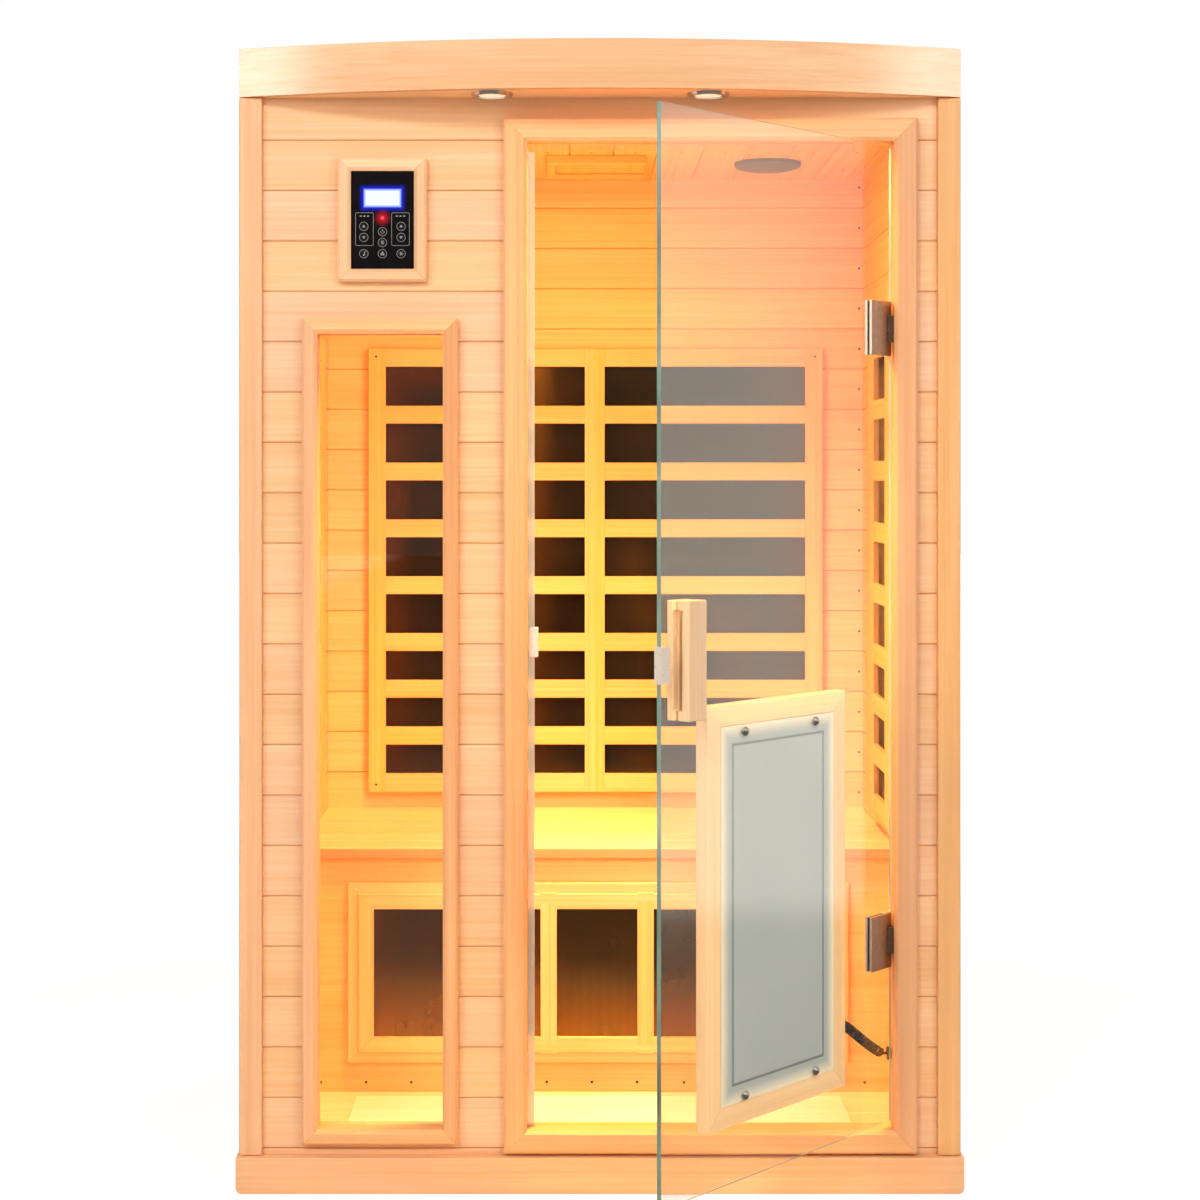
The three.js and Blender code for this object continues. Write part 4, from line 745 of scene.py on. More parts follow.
def heater_film(name, axis, gloss, mirror=0.0, level=0.0):
    """Dark carbon film: faint upright strips under a smooth cover sheet. mirror is the share of the film that
    reflects; a reflection is painted over its bronze, brown below a level and darker above it."""
    graph = Graph(name)
    x, y, z = graph.coordinates()
    across = x if axis == "X" else y
    strip = graph.math("SINE", graph.math("MULTIPLY", across, 2 * math.pi / STRIP_PITCH))
    cloud = graph.noise(graph.combine(across, z, 0.0), scale=9.0, detail=3.0)
    tone = graph.math("ADD", graph.math("MULTIPLY", strip, 0.12), cloud)
    colour = graph.mix(tone, rgb(20, 14, 9), rgb(34, 25, 17))
    smooth = (0.1, 0.18)
    if mirror:
        bronze = graph.mix(tone, rgb(144, 116, 80), rgb(130, 103, 70))
        # Painted reflection: the bronze shows in full below the level and only half above it, a darker reflection
        # painted on the upper half
        below = graph.ramp(z, level - PAINTED_REFLECTION_FADE, level + PAINTED_REFLECTION_FADE, 1.0, 0.5)
        colour = graph.mix(below, colour, bronze)
        smooth = (0.2, 0.3)
    else:
        graph.bump(cloud, 0.02, FINE_RELIEF)
    graph.set(
        base_color=colour,
        roughness=graph.ramp(cloud, *NOISE_SPAN, *smooth),
        specular_ior_level=gloss,
        specular_tint=rgb(255, 214, 172),
        metallic=mirror,
    )
    return graph.material


PANEL_BORDER = 29 * MM
PANEL_LINE = 3.2 * MM
PANEL_LINE_TONE = (0.2, 0.22, 0.22, 1)
PANEL_RIM = (9 * MM, 26 * MM)


def door_panel_finish(name, low, high):
    """The heater panel on the door: a grey back sheet with a printed border towards the glass, and
    dark film towards the cabin."""
    graph = Graph(name)
    x, y, z = graph.coordinates(on_door=True)
    middle, reach = (low + high) / 2, (high - low) / 2
    side = graph.past(x, middle.x, reach.x - PANEL_BORDER)
    end = graph.past(z, middle.z, reach.z - PANEL_BORDER)
    line = graph.math("MAXIMUM", side, end)
    cloud = graph.noise(graph.combine(x, y, z), scale=5.0, detail=3.0)
    speck = graph.noise(graph.combine(x, y, z), scale=420.0, detail=2.0)
    sheet = graph.mix(cloud, rgb(182, 191, 195), rgb(161, 171, 176))
    sheet = graph.mix(graph.ramp(speck, 0.4, 0.7, 0.0, 0.1), sheet, rgb(140, 142, 136))
    sheet = darken(graph, sheet, line, PANEL_LINE, PANEL_LINE_TONE)
    sheet = graph.mix(graph.ramp(line, *PANEL_RIM), sheet, rgb(236, 226, 206))
    film = graph.mix(cloud, rgb(34, 24, 16), rgb(56, 40, 30))
    inner = graph.math("LESS_THAN", graph.normal_along(door_out), -0.5)
    graph.set(
        base_color=graph.mix(inner, sheet, film),
        roughness=graph.ramp(cloud, *NOISE_SPAN, 0.3, 0.42),
    )
    graph.bump(speck, 0.04, FINE_RELIEF)
    return graph.material


def clamp_finish(name, out):
    """Satin nickel, brown on its flat faces and bright on its eased edges."""
    graph = Graph(name)
    face = graph.ramp(graph.math("ABSOLUTE", graph.normal_along(out)), 0.9, 0.99)
    drift = graph.noise(graph.combine(*graph.coordinates()), scale=120.0, detail=4.0)
    brown = graph.mix(drift, rgb(186, 166, 150), rgb(158, 136, 120))
    graph.set(
        base_color=graph.mix(face, rgb(236, 230, 222), brown),
        roughness=graph.ramp(drift, *NOISE_SPAN, 0.28, 0.36),
        metallic=1.0,
    )
    return graph.material


SOUND_RING_PITCH = 7 * MM
SOUND_RADIUS = 54 * MM
SOUND_SPOKES = 40.0


def speaker_finish(name, centre):
    """Grey moulded plastic with rings of sound holes, drawn as painted shade: dark, and pressed in by a bump."""
    graph = Graph(name)
    x, y, _ = graph.coordinates()
    dx = graph.math("SUBTRACT", x, centre.x)
    dy = graph.math("SUBTRACT", y, centre.y)
    radius = graph.length(dx, dy)
    wave = graph.math("SINE", graph.math("MULTIPLY", radius, 2 * math.pi / SOUND_RING_PITCH))
    spoke = graph.math("SINE", graph.math("MULTIPLY", graph.math("ARCTAN2", dy, dx), SOUND_SPOKES))
    # The sound holes are not cut: they are painted dark, as the shade inside them
    painted_hole_shade = graph.ramp(graph.math("MULTIPLY", wave, spoke), 0.25, 0.45)
    painted_hole_shade = graph.math("MULTIPLY", painted_hole_shade, graph.math("LESS_THAN", radius, SOUND_RADIUS))
    graph.set(base_color=graph.mix(painted_hole_shade, rgb(92, 90, 86), rgb(36, 34, 31)), roughness=0.5)
    graph.bump(painted_hole_shade, -0.6, 1.0 * MM)
    return graph.material


# Stage, world and light

WORLD_LIGHT = 0.18
ROOM_LIGHT = 0.15
ROOM_TURN = (-0.75, -0.45)


def add_world():
    """White where it is seen, dim as light, and in reflections dim only towards the front."""
    world = bpy.data.worlds.new("studio")
    world.use_nodes = True
    scene.world = world
    sky = Nodes(world.node_tree)
    background = sky.tree.nodes["Background"]
    background.inputs["Color"].default_value = (1, 1, 1, 1)
    towards_back = sky.separate(sky.add("TexCoord").outputs["Generated"])[1]
    mirrored = sky.ramp(towards_back, *ROOM_TURN, ROOM_LIGHT, 1.0)
    light = sky.blend(sky.any_ray("Is Glossy Ray"), WORLD_LIGHT, mirrored)
    seen = sky.any_ray("Is Camera Ray", "Is Transmission Ray")
    sky.put(background.inputs["Strength"], sky.blend(seen, light, 1.0))


FLOOR_SIZE = 60
FLOOR_DROP = 0.5 * MM
FLOOR_TONE = (0.9, 0.9, 0.9, 1)
FLOOR_MIRRORED_TONE = (0.22, 0.22, 0.22, 1)
FLOOR_GLOW = 0.6
FLOOR_STRENGTH = 1.38
SHADOW_REACH = 1.6
WHITE_FROM = 4.0
MIRRORED_FROM = (2.6, 3.0)
MIRRORED_GLOW = 0.72


def add_floor():
    """A white floor that keeps a soft shadow of the object, and looks darker in reflections."""
    graph = Graph("studio_floor")
    x, y, _ = graph.coordinates()
    mirrored = graph.any_ray("Is Glossy Ray")
    seen = graph.any_ray("Is Camera Ray", "Is Transmission Ray")
    graph.set(
        base_color=graph.mix(mirrored, FLOOR_TONE, FLOOR_MIRRORED_TONE),
        roughness=0.9,
        specular_ior_level=0.0,
    )
    glow = graph.add("Emission")
    glow.inputs["Strength"].default_value = FLOOR_STRENGTH
    far = graph.ramp(graph.length(x, y), SHADOW_REACH, WHITE_FROM, FLOOR_GLOW, 1.0)
    beside = graph.ramp(graph.math("ABSOLUTE", x), *MIRRORED_FROM, 0.0, MIRRORED_GLOW)
    share = graph.math(
        "MAXIMUM",
        graph.math("MULTIPLY", seen, far),
        graph.math("MULTIPLY", mirrored, beside),
    )
    graph.mix_shaders(share, graph.shader.outputs[0], glow.outputs[0])
    bm = bmesh.new()
    bmesh.ops.create_grid(bm, x_segments=1, y_segments=1, size=FLOOR_SIZE / 2)
    bmesh.ops.translate(bm, verts=bm.verts, vec=(0, 0, cad_low.z - FLOOR_DROP))
    floor = from_bmesh("floor", bm, graph.material, None)
    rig.stage(floor)


# Studio lights: place, target, size and power
STUDIO_LIGHTS = {
    "key": ((-1.8, -4.9, 4.3), (0, 0, 1.0), 0.9, 95),
    "fill": ((2.0, -4.9, 4.1), (0, 0, 0.9), 0.9, 58),
    "left_box": ((-3.5, -3.8, 2.6), (0, 0, 1.5), 1.2, 62),
    "right_box": ((3.5, -3.8, 2.6), (0, 0, 1.5), 1.2, 49),
    "back_box": ((1.8, 4.4, 3.6), (0, 0, 1.0), 1.2, 60),
}
WHITE = (1, 1, 1)
WARM = (1.0, 0.68, 0.16)
GLOW = (1.0, 0.7, 0.24)
FLOOR_LIGHT = (1.0, 0.86, 0.56)
LAMP_GAP = 4 * MM
LAMP_SIZE = 0.11
LAMP_POWER = 8.5
BEAM_POWER = 12
BEAM_LEAN = 0.08
BEAM_SPREAD = 95
CABIN_GLOW_Y = -0.08
CABIN_GLOW_Z = 1.36
GLOW_STRIP_LENGTH = 0.95
GLOW_STRIP_HEIGHT = 0.05


def add_area(name, place, target, size, power, colour=WHITE):
    data = bpy.data.lights.new(name, "AREA")
    data.shape = "DISK"
    data.size = size
    data.energy = power
    data.color = colour
    light = bpy.data.objects.new(name, data)
    light.location = place
    light.rotation_euler = (Vector(target) - Vector(place)).to_track_quat("-Z", "Y").to_euler()
    scene.collection.objects.link(light)
    return light


def add_strip(name, place, target, power, colour):
    light = add_area(name, place, target, GLOW_STRIP_LENGTH, power, colour)
    light.data.shape = "RECTANGLE"
    light.data.size_y = GLOW_STRIP_HEIGHT
    return light


def add_lights():
    """Studio lights, the cabin's lamp, and the glow that its pale wood throws back."""
    for name, light in STUDIO_LIGHTS.items():
        add_area(name, *light)
    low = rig.box("ceiling_lamp")[0]
    lamp = middle_of("ceiling_lamp")
    under = (lamp.x, lamp.y, low.z - LAMP_GAP)
    add_area("cabin_lamp", under, (lamp.x, lamp.y, 0), LAMP_SIZE, LAMP_POWER, WARM)
    beam = add_area("cabin_beam", under, (lamp.x, lamp.y + BEAM_LEAN, 0), LAMP_SIZE, BEAM_POWER, WARM)
    beam.data.spread = math.radians(BEAM_SPREAD)
    glow_place = (lamp.x, CABIN_GLOW_Y, CABIN_GLOW_Z)
    glows = (
        add_area("cabin_glow", glow_place, (lamp.x, CABIN_GLOW_Y, low.z), 0.5, 1.4, GLOW),
        add_strip("bench_glow", (0, -0.38, 0.6), (0, -0.06, 0.49), 0.6, GLOW),
        add_strip("floor_glow", (0, -0.4, 0.26), (0, -0.22, 0.1), 0.5, FLOOR_LIGHT),
        add_area("left_glow", (-0.3, -0.38, 1.15), (-0.4, 0.45, 1.15), 0.4, 2.1, GLOW),
    )
    for glow in glows:
        glow.visible_camera = False
        glow.visible_glossy = False
        glow.visible_transmission = False


# Curly cord from the door heater to its gland, along the same curve as its solid

CORD_DIAMETER = 4.5 * MM
CURL_RADIUS = 6.5 * MM
CURLS = 17
CURL_STEPS = 20
CORD_SIDES = 10
CORD_LEAD = 18 * MM
CORD_START = (120 * MM - FIT, -18.5 * MM, 294 * MM)
AXIS_SAMPLES = 400


def cord_path():
    """The cord's points from the heater frame to the gland, and its direction at each end."""
    leave = door_turn @ Vector((1, 0, 0))
    start = door_point(*CORD_START)
    gland = middle_of("cord_gland")
    end = Vector((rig.box("cord_gland")[0].x - FIT, gland.y, gland.z))
    arrive = Vector((1, 0, 0))
    first = start + leave * CORD_DIAMETER
    last = end - arrive * CORD_DIAMETER
    controls = first, first + leave * CORD_LEAD, last - arrive * CORD_LEAD, last

    def axis(t):
        s = 1 - t
        weights = s**3, 3 * s * s * t, 3 * s * t * t, t**3
        return sum((c * w for c, w in zip(controls, weights)), Vector((0, 0, 0)))

    samples = [axis(i / AXIS_SAMPLES) for i in range(AXIS_SAMPLES + 1)]
    travelled = [0.0]
    for a, b in zip(samples, samples[1:]):
        travelled.append(travelled[-1] + (b - a).length)

    def at(share):
        goal = share * travelled[-1]
        k = next(i for i, d in enumerate(travelled) if d >= goal - 1e-12)
        if k == 0:
            return samples[0], (samples[1] - samples[0]).normalized()
        part = (goal - travelled[k - 1]) / (travelled[k] - travelled[k - 1])
        return samples[k - 1].lerp(samples[k], part), (samples[k] - samples[k - 1]).normalized()

    steps = CURLS * CURL_STEPS
    path = [start]
    for i in range(steps + 1):
        point, along = at(i / steps)
        across = along.cross(Vector((0, 0, 1))).normalized()
        up = across.cross(along)
        ramp = min(1.0, min(i, steps - i) / CURL_STEPS)
        ramp = ramp * ramp * (3 - 2 * ramp)
        turn = 2 * math.pi * i / CURL_STEPS
        path.append(point + (across * math.cos(turn) + up * math.sin(turn)) * CURL_RADIUS * ramp)
    path.append(end)
    return path, leave, arrive


def tube(path, first_way, last_way, radius, sides):
    bm = bmesh.new()
    across = first_way.cross(Vector((0, 0, 1))).normalized()
    angles = [2 * math.pi * k / sides for k in range(sides)]
    rings = []
    for i, point in enumerate(path):
        way = (path[min(i + 1, len(path) - 1)] - path[max(i - 1, 0)]).normalized()
        if i < 2:
            way = first_way
        elif i > len(path) - 3:
            way = last_way
        across = (across - way * across.dot(way)).normalized()
        up = way.cross(across)
        spokes = [across * math.cos(t) + up * math.sin(t) for t in angles]
        rings.append([bm.verts.new(point + spoke * radius) for spoke in spokes])
    for low, high in zip(rings, rings[1:]):
        for k in range(sides):
            j = (k + 1) % sides
            bm.faces.new((low[k], low[j], high[j], high[k]))
    bm.faces.new(rings[0][::-1])
    bm.faces.new(rings[-1])
    return bm


def add_cord(material):
    path, leave, arrive = cord_path()
    body = tube(path, leave, arrive, CORD_DIAMETER / 2, CORD_SIDES)
    cord = from_bmesh("curly_cord", body, material, None, True)
    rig.replaces(cord, "door_cord")
    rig.slot(cord, "black_rubber")
    length = sum((b - a).length for a, b in zip(path, path[1:]))
    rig.cord(
        cord,
        exit=path[0],
        length=length,
        diameter=CORD_DIAMETER,
        far_end="object",
        lay="coiled",
        path=path,
    )
    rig.blend(cord, "door", "cabin", start=path[0], end=path[-1])


# Control panel: screen, lamp, key marks and outlines

panel_middle = middle_of("control_panel")
PANEL_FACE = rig.box("control_panel")[0].y
SCREEN_SIZE = (64 * MM, 32 * MM)
SCREEN_ROUND = 2.5 * MM
SCREEN_DEPTH = 0.25 * MM
SCREEN_RISE = 36.5 * MM
SCREEN_FADE = (0.5 * MM, 5 * MM)
SCREEN_HALO = 9 * MM
LAMP_RISE = 3.3 * MM
LAMP_HALO = (2 * MM, 16 * MM)
LAMP_PROFILE = [(0, 0), (2.6, 0), (2.2, 0.8), (0, 1.1)]
LINE = 0.55 * MM
MARK_DEPTH = 0.15 * MM
MARK_STEP = 0.05
OUTLINE_SIZE = (30 * MM, 55 * MM)
OUTLINE_SIDE = 30 * MM
OUTLINE_DROP = 15.2 * MM
OUTLINE_ROUND = (1.6 * MM, 2.2 * MM)
DASH_SIZE = (3.6 * MM, 1.6 * MM, 0.4 * MM)
DASH_PITCH = 6 * MM
DASH_RISE = 6.5 * MM
KEY_RING = 7.4 * MM
RING_STEPS = 28


def scaled(profile):
    return [(a * MM, b * MM) for a, b in profile]


def on_panel(a, b, out):
    return Vector((panel_middle.x + a, PANEL_FACE - out, panel_middle.z + b))


def screen_finish(name):
    """A backlit screen: white in the middle and blue towards its edges."""
    graph = Graph(name)
    x, _, z = graph.coordinates()
    side = graph.past(x, panel_middle.x, SCREEN_SIZE[0] / 2)
    end = graph.past(z, panel_middle.z + SCREEN_RISE, SCREEN_SIZE[1] / 2)
    inset = graph.math("MULTIPLY", graph.math("MAXIMUM", side, end), -1.0)
    glow = graph.ramp(inset, *SCREEN_FADE)
    graph.set(
        base_color=graph.mix(glow, rgb(30, 40, 90), rgb(120, 130, 150)),
        emission_color=graph.mix(glow, rgb(60, 90, 255), rgb(226, 236, 255)),
        emission_strength=0.95,
        roughness=0.2,
    )
    return graph.material


def panel_finish(name):
    """Black glass with the blue glow of the screen and the red glow of the lamp in it."""
    graph = Graph(name)
    x, y, z = graph.coordinates()
    side = graph.math("MAXIMUM", graph.past(x, panel_middle.x, SCREEN_SIZE[0] / 2), 0.0)
    rise = graph.past(z, panel_middle.z + SCREEN_RISE, SCREEN_SIZE[1] / 2)
    from_screen = graph.length(side, graph.math("MAXIMUM", rise, 0.0))
    blue = graph.math("POWER", graph.ramp(from_screen, 0.0, SCREEN_HALO, 1.0, 0.0), 2.0)
    from_lamp = graph.length(
        graph.math("SUBTRACT", x, panel_middle.x),
        graph.math("SUBTRACT", z, panel_middle.z + LAMP_RISE),
    )
    red = graph.math("POWER", graph.ramp(from_lamp, *LAMP_HALO, 1.0, 0.0), 1.6)
    cloud = graph.noise(graph.combine(x, y, z), scale=60.0, detail=4.0)
    halo = graph.mix(blue, (0, 0, 0, 1), rgb(20, 40, 235))
    graph.set(
        base_color=graph.mix(cloud, rgb(15, 12, 14), rgb(25, 21, 23)),
        roughness=graph.ramp(cloud, *NOISE_SPAN, 0.1, 0.16),
        emission_color=graph.mix(red, halo, rgb(225, 30, 44)),
        emission_strength=0.9,
        specular_ior_level=0.15,
    )
    return graph.material


def add_control_details(white, red):
    bm = bmesh.new()
    screen = rounded_rectangle((0, SCREEN_RISE), *SCREEN_SIZE, SCREEN_ROUND)
    add_outline(bm, screen, on_panel, SCREEN_DEPTH)
    from_bmesh("screen", bm, screen_finish("lit_screen"), "cabin")
    bm = bmesh.new()
    add_turned(bm, scaled(LAMP_PROFILE), on_panel(0, LAMP_RISE, 0), (0, -1, 0))
    from_bmesh("heat_lamp", bm, red, "cabin", True)
    bm = bmesh.new()
    for side in (-OUTLINE_SIDE, OUTLINE_SIDE):
        centre = (side, -OUTLINE_DROP)
        inner_size = [size - 2 * LINE for size in OUTLINE_SIZE]
        inner = rounded_rectangle(centre, *inner_size, OUTLINE_ROUND[0])
        outer = rounded_rectangle(centre, *OUTLINE_SIZE, OUTLINE_ROUND[1])
        add_band(bm, inner, outer, on_panel, MARK_DEPTH)
        for k in (-1, 0, 1):
            dash = rounded_rectangle((side + k * DASH_PITCH, DASH_RISE), *DASH_SIZE)
            add_outline(bm, dash, on_panel, MARK_DEPTH)
    from_bmesh("panel_outlines", bm, white, "cabin")


def bar(centre, width, height):
    return rounded_rectangle(centre, width, height, min(width, height) * 0.3, 2)


def key_marks():
    """The flat shapes on each key, in millimetres from the key's middle."""
    up = [(-2.6, -1.6), (2.6, -1.6), (0, 2.6)]
    down = [(a, -b) for a, b in up]
    power = [bar((0, 2.2), 0.9, 3.4)]
    for k in range(-4, 5):
        t = math.pi / 6 * k
        power.append(circle_points((2.7 * math.sin(t), -2.7 * math.cos(t) - 0.2), 0.55, 8))
    sun = [circle_points((0, 0), 1.9, 14)]
    for k in range(6):
        t = math.pi / 3 * k
        sun.append(circle_points((3.6 * math.cos(t), 3.6 * math.sin(t)), 0.55, 8))
    return {
        "key_heat_up": [up],
        "key_heat_down": [down],
        "key_time_up": [up],
        "key_time_down": [down],
        "key_power": power,
        "key_mode": [bar((0, d), 5.2, 0.9) for d in (-2.2, 0, 2.2)],
        "key_sound": [
            bar((1.2, 0.6), 0.8, 5.6),
            circle_points((0, -2.1), 1.4, 12),
            bar((2.1, 3.0), 2.4, 0.9),
        ],
        "key_colour": [circle_points(c, 1.5, 12) for c in ((0, 1.7), (-1.8, -1.3), (1.8, -1.3))],
        "key_light": sun,
    }


def add_key_marks(white):
    for name, shapes in key_marks().items():
        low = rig.box(name)[0]
        middle = middle_of(name)

        def on_key(a, b, out):
            return Vector((middle.x + a, low.y - out, middle.z + b))

        bm = bmesh.new()
        inner = circle_points((0, 0), KEY_RING - LINE, RING_STEPS)
        add_band(bm, inner, circle_points((0, 0), KEY_RING, RING_STEPS), on_key, MARK_DEPTH)
        for k, shape in enumerate(shapes):
            add_outline(bm, scaled(shape), on_key, MARK_DEPTH * (1 + MARK_STEP * k))
        from_bmesh(name + "_mark", bm, white, name)


# Fasteners and lenses, with profiles in millimetres

STUD_PLACES = [(u * MM, z * MM) for u in (208, 392) for z in (241, 799)]
CAP_PROFILE = [(0, 0), (7, 0), (7, 1.6), (6.4, 2.2), (5, 2.4), (4.4, 4.2), (2.8, 5.4), (0, 5.8)]
CAP_GAP = 0.05 * MM
NAIL_PROFILE = [(0, 0), (2.7, 0), (2.4, 0.4), (0, 0.6)]
NAIL_STEPS = 12
CEILING_NAIL_ROWS = (58 * MM, 287 * MM)
BENCH_NAIL_RISE = 18 * MM
CORNER_NAIL_INSET = 8 * MM
GUARD_NAIL_INSET = 16 * MM
LENS_PROFILE = [(0, 0), (23, 0), (22, 0.6), (14, 1.5), (0, 2.0)]
LENS_RISE = 2.45 * MM


def add_stud_caps(chrome):
    """Domed nuts with washers on the glass, over the heater panel's studs."""
    bm = bmesh.new()
    for u, z in STUD_PLACES:
        add_turned(bm, scaled(CAP_PROFILE), door_point(u, GLASS_FACE + CAP_GAP, z), door_out)
    caps = from_bmesh("stud_caps", bm, chrome, "door", True)
    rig.slot(caps, "satin_steel")


def board_middles(first, last):
    place = first + BOARD_PITCH / 2
    while place < last:
        yield place
        place += BOARD_PITCH


def add_nails(steel):
    """Nail heads: two rows across the ceiling boards, one along the bench panel, one up the back's
    right corner, and one in each corner of the back guard."""
    bm = bmesh.new()
    down = (0, 0, -1)
    out = (0, -1, 0)

    def nail(place, axis):
        add_turned(bm, scaled(NAIL_PROFILE), place, axis, NAIL_STEPS)

    ceiling_low, ceiling_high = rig.box("ceiling_panel")
    for x in board_middles(ceiling_low.x, ceiling_high.x):
        for y in CEILING_NAIL_ROWS:
            nail((x, y, ceiling_low.z), down)
    low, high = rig.box("bench_panel")
    for x in board_middles(low.x, high.x):
        nail((x, low.y, low.z + BENCH_NAIL_RISE), out)
    inner_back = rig.box("back_heater")[1].y + FIT
    for z in board_middles(FIRST_JOINT, ceiling_low.z):
        nail((ceiling_high.x - CORNER_NAIL_INSET, inner_back, z), out)
    low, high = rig.box("back_guard")
    for x in (low.x + GUARD_NAIL_INSET, high.x - GUARD_NAIL_INSET):
        for z in (low.z + GUARD_NAIL_INSET, high.z - GUARD_NAIL_INSET):
            nail((x, low.y, z), out)
    nails = from_bmesh("nail_heads", bm, steel, "cabin", True)
    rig.slot(nails, "satin_steel")


def add_lenses():
    """Frosted lenses of the downlights, lit."""
    lens = glowing("downlight_lens", rgb(255, 244, 226), 0.45, rgb(255, 230, 200))
    for side in ("left", "right"):
        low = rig.box("downlight_" + side)[0]
        middle = middle_of("downlight_" + side)
        bm = bmesh.new()
        add_turned(bm, scaled(LENS_PROFILE), (middle.x, middle.y, low.z + LENS_RISE), (0, 0, -1))
        piece = from_bmesh("downlight_lens_" + side, bm, lens, "cabin", True)
        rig.slot(piece, "lamp_diffuser")


# Dressing

WELD_GAP = 0.01 * MM
SHARP_ANGLE = 50
CALF_STILE = (90 * MM, 15 * MM, 34 * MM)
# Guards: axis across, width of a column of gaps, its distance from the middle, and seed
GUARDS = {
    "back_guard": ("X", 413 * MM, 227 * MM, 100.0),
    "left_guard": ("Y", 149 * MM, 107 * MM, 130.0),
    "right_guard": ("Y", 149 * MM, 107 * MM, 160.0),
}


def dress(material, *names):
    for name in names:
        slots = nodes[name].data.materials
        slots.clear()
        slots.append(material)


def soften(width, *names):
    """Eases the sharp edges of a solid."""
    for name in names:
        weld = nodes[name].modifiers.new("weld", "WELD")
        weld.merge_threshold = WELD_GAP
        bevel = nodes[name].modifiers.new("eased_edges", "BEVEL")
        bevel.width = width
        bevel.segments = 2
        bevel.limit_method = "ANGLE"
        bevel.angle_limit = math.radians(SHARP_ANGLE)
        bevel.harden_normals = True


def even_normals(name):
    """One smooth sheen along a bowed face, flat on the straight ones."""
    weighted = nodes[name].modifiers.new("even_normals", "WEIGHTED_NORMAL")
    weighted.mode = "FACE_AREA"
    weighted.weight = 100


def dress_wood():
    dress(board_wood("front_boards", "X", "Z", FIRST_JOINT), "front_wall")
    dress(board_wood("back_boards", "X", "Z", FIRST_JOINT, seed=61.0), "back_wall")
    dress(board_wood("side_boards", "Y", "Z", FIRST_JOINT, seed=31.0), "left_wall", "right_wall")
    for name, axes, wood, seed, node in (
        ("plinth_plank", "XZ", POST, 5.0, "base_frame"),
        ("left_post_plank", "ZX", POST, 7.0, "post_left"),
        ("right_post_plank", "ZX", POST, 12.0, "post_right"),
        ("soffit_plank", "XY", BOARD, 3.0, "roof_soffit"),
        ("cover_sheet", "XY", BOARD, 17.0, "roof_cover"),
        ("bench_panel_plank", "XZ", INNER, 8.0, "bench_panel"),
        ("vent_plank", "XY", INNER, 13.0, "vent_frame"),
        ("vent_slider_plank", "XY", INNER, 14.0, "vent_slider"),
        ("floor_heater_cover", "XY", HEATER_COVER, 15.0, "floor_heater"),
        ("outer_handle_wood", "ZX", GRIP, 90.0, "handle_outer"),
        ("inner_handle_wood", "ZX", GRIP, 93.0, "handle_inner"),
    ):
        dress(board_wood(name, *axes, wood=wood, seed=seed), node)
    dress(board_wood("fascia_plank", "X", "Z", wood=POST, seed=9.0, coat=0.75), "roof_frame")
    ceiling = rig.box("ceiling_panel")[0].x
    dress(board_wood("ceiling_boards", "Y", "X", ceiling, INNER, 2.0), "ceiling_panel")
    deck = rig.box("floor_deck")[0].y
    dress(board_wood("floor_boards", "X", "Y", deck, WORN_FLOOR, 4.0), "floor_deck")
    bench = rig.box("bench_top")[0].y
    dress(board_wood("bench_boards", "X", "Y", bench, SEAT, 6.0), "bench_top")
    # Trims and frames carry painted light on their rails and uprights; the window's top rail gets more of it, and the
    # top rails of the calf guard and the door heater frame get none
    dress(framed_wood("door_trim_wood", *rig.box("door_trim"), seed=20.0), "door_trim")
    dress(framed_wood("window_trim_wood", *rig.box("window_trim"), seed=40.0, head=0.3), "window_trim")
    dress(framed_wood("control_frame_wood", *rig.box("control_frame"), BOARD, seed=50.0), "control_frame")
    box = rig.box("calf_guard")
    calf_wood = framed_wood("calf_guard_wood", *box, INNER, seed=70.0, stile=CALF_STILE, head=0.0)
    dress(calf_wood, "calf_guard")
    span = door_span("door_heater_frame")
    door_wood = framed_wood("door_heater_frame_wood", *span, PAINTED_VEIL_WOOD, on_door=True, seed=80.0, head=0.0)
    dress(door_wood, "door_heater_frame")
    for name, (axis, gap, centre, seed) in GUARDS.items():
        middle = middle_of(name)[AXES.index(axis)]
        dress(guard_wood(name + "_wood", axis, middle, gap, centre, seed), name)
    soften(2.5 * MM, "post_left", "post_right", "roof_frame")
    even_normals("roof_frame")
    soften(1.5 * MM, "door_trim", "window_trim", "control_frame", "calf_guard", "door_heater_frame")
    soften(1.5 * MM, "back_guard", "left_guard", "right_guard", "handle_outer", "handle_inner")
    soften(1.5 * MM, "vent_frame", "vent_slider", "floor_heater")
    soften(6 * MM, "bench_top")


def dress_glass_and_heaters():
    dress(clear_glass("door_glass_clear", tuple(door_out), DOOR_PAINTED_VEIL, True), "door_glass")
    dress(clear_glass("window_glass_clear", (0, -1, 0), 0.0), "window_glass")
    dress(heater_film("back_heater_film", "X", 0.8), "back_heater")
    # The calf heater's painted reflection turns darker above half its height
    level = middle_of("calf_heater").z
    dress(heater_film("calf_heater_film", "X", 0.9, MIRROR_SHARE, level), "calf_heater")
    dress(heater_film("side_heater_film", "Y", 0.4), "left_heater", "right_heater")
    panel = door_span("door_heater_panel")
    dress(door_panel_finish("door_heater_sheet", *panel), "door_heater_panel")
    dress(seal_finish("clear_seal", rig.box("door_seal")[1].z - SEAL_HEAD), "door_seal")


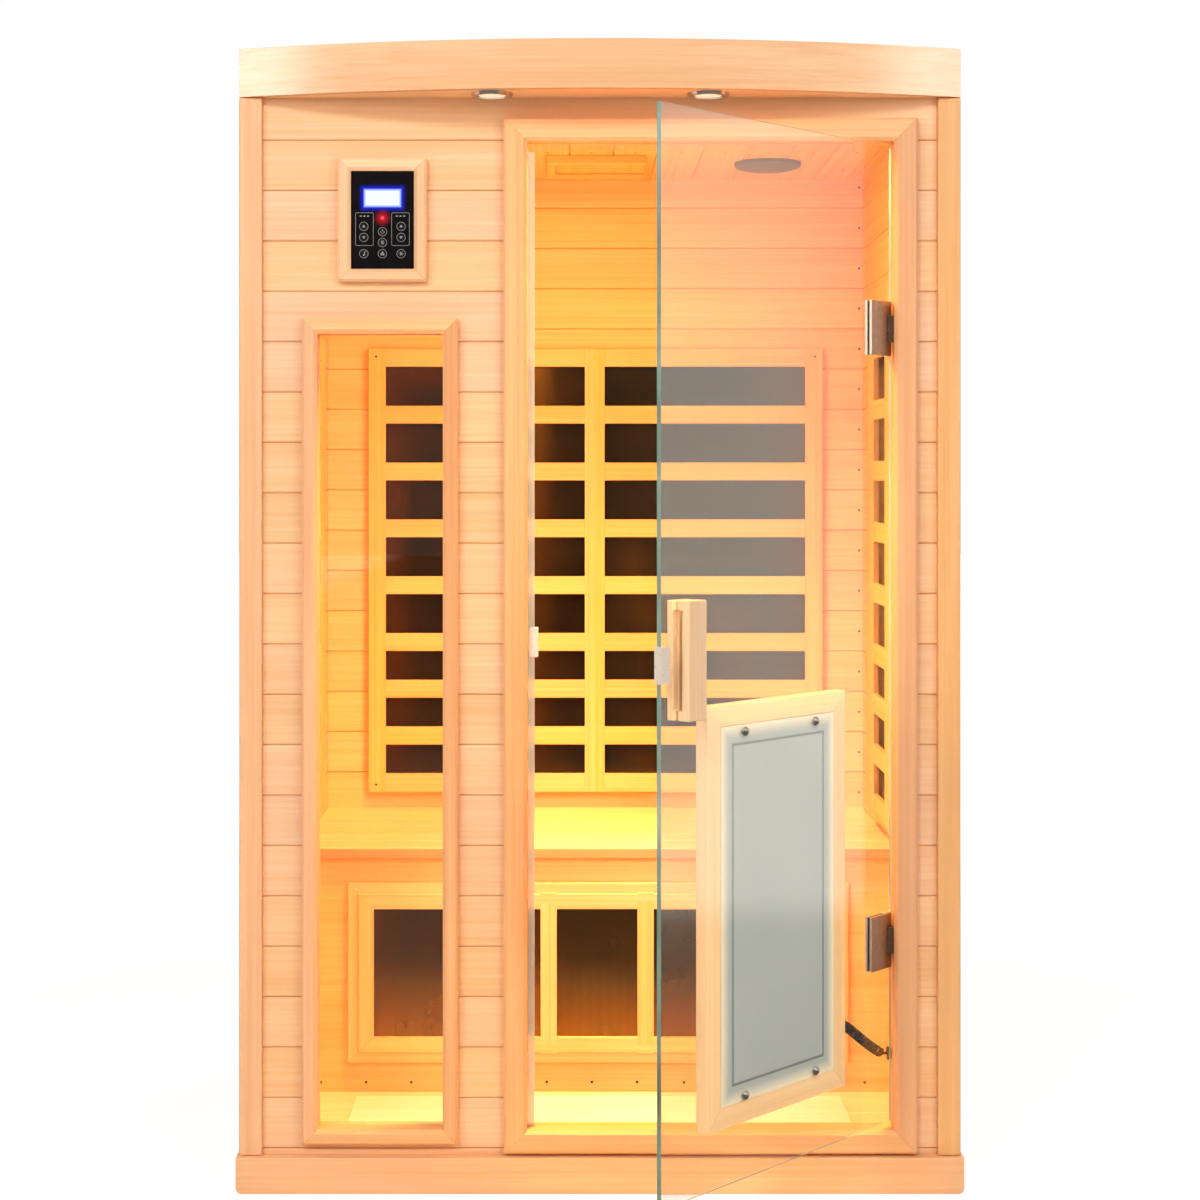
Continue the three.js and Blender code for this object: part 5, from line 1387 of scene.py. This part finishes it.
def dress_fittings():
    clamps = ("hinge_clamp_upper", "hinge_clamp_lower")
    brackets = ("hinge_bracket_upper", "hinge_bracket_lower")
    dress(clamp_finish("clamp_nickel", tuple(door_out)), *clamps)
    bronze = mottled("bracket_bronze", rgb(176, 132, 106), rgb(150, 106, 82), 120, 0.25, 1.0, 0.01)
    dress(bronze, "hinge_pin_upper", "hinge_pin_lower", *brackets)
    chrome = mottled("bright_chrome", rgb(232, 230, 226), rgb(206, 202, 196), 90, 0.1, 1.0, 0.02)
    dress(chrome, "downlight_left", "downlight_right")
    dress(panel_finish("panel_black"), "control_panel")
    dull = {"specular_ior_level": 0.15}
    key_black = mottled("key_black", rgb(18, 15, 17), rgb(30, 26, 28), 200, 0.3, 0.0, 0.02, **dull)
    dress(key_black, *key_marks())
    rubber = mottled("black_rubber", rgb(14, 11, 10), rgb(30, 24, 21), 240, 0.42, 0.0, 0.1, **dull)
    dress(rubber, "cord_gland", "door_cord")
    milky = {"transmission_weight": 0.15}
    clip = mottled("frosted_clip", rgb(244, 232, 214), rgb(232, 216, 196), 160, 0.3, 0.0, 0.03, **milky)
    dress(clip, "strike_clip")
    white = mottled("white_plastic", rgb(244, 241, 234), rgb(230, 226, 216), 120, 0.3, 0.0, 0.02)
    dress(white, "magnet_catch")
    dress(glowing("lamp_diffuser", rgb(255, 236, 190), 2.0, rgb(255, 226, 168)), "ceiling_lamp")
    dress(speaker_finish("speaker_grey", middle_of("speaker")), "speaker")
    metal = mottled("box_metal", rgb(190, 194, 198), rgb(168, 172, 176), 160, 0.45, 0.6)
    dress(metal, "power_box")
    soften(1.6 * MM, *clamps, *brackets)
    soften(0.8 * MM, "magnet_catch", "power_box")
    marks = mottled("printed_white", rgb(176, 174, 172), rgb(150, 148, 148), 400, 0.4, 0.0, 0.0)
    red = glowing("red_lamp", rgb(255, 70, 80), 1.6, rgb(255, 30, 44))
    add_cord(rubber)
    add_control_details(marks, red)
    add_key_marks(marks)
    add_stud_caps(mottled("cap_steel", rgb(176, 172, 166), rgb(140, 134, 128), 200, 0.3, 1.0, 0.02))
    add_nails(mottled("nail_steel", rgb(92, 62, 38), rgb(66, 42, 26), 300, 0.5, 0.5, 0.0))
    add_lenses()


add_camera()
add_world()
add_floor()
add_lights()
dress_wood()
dress_glass_and_heaters()
dress_fittings()
scene.view_settings.view_transform = "Standard"

low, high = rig.bounds()
with open("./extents.json", "w") as file:
    json.dump({"cad": [list(cad_low), list(cad_high)], "visual": [list(low), list(high)]}, file)
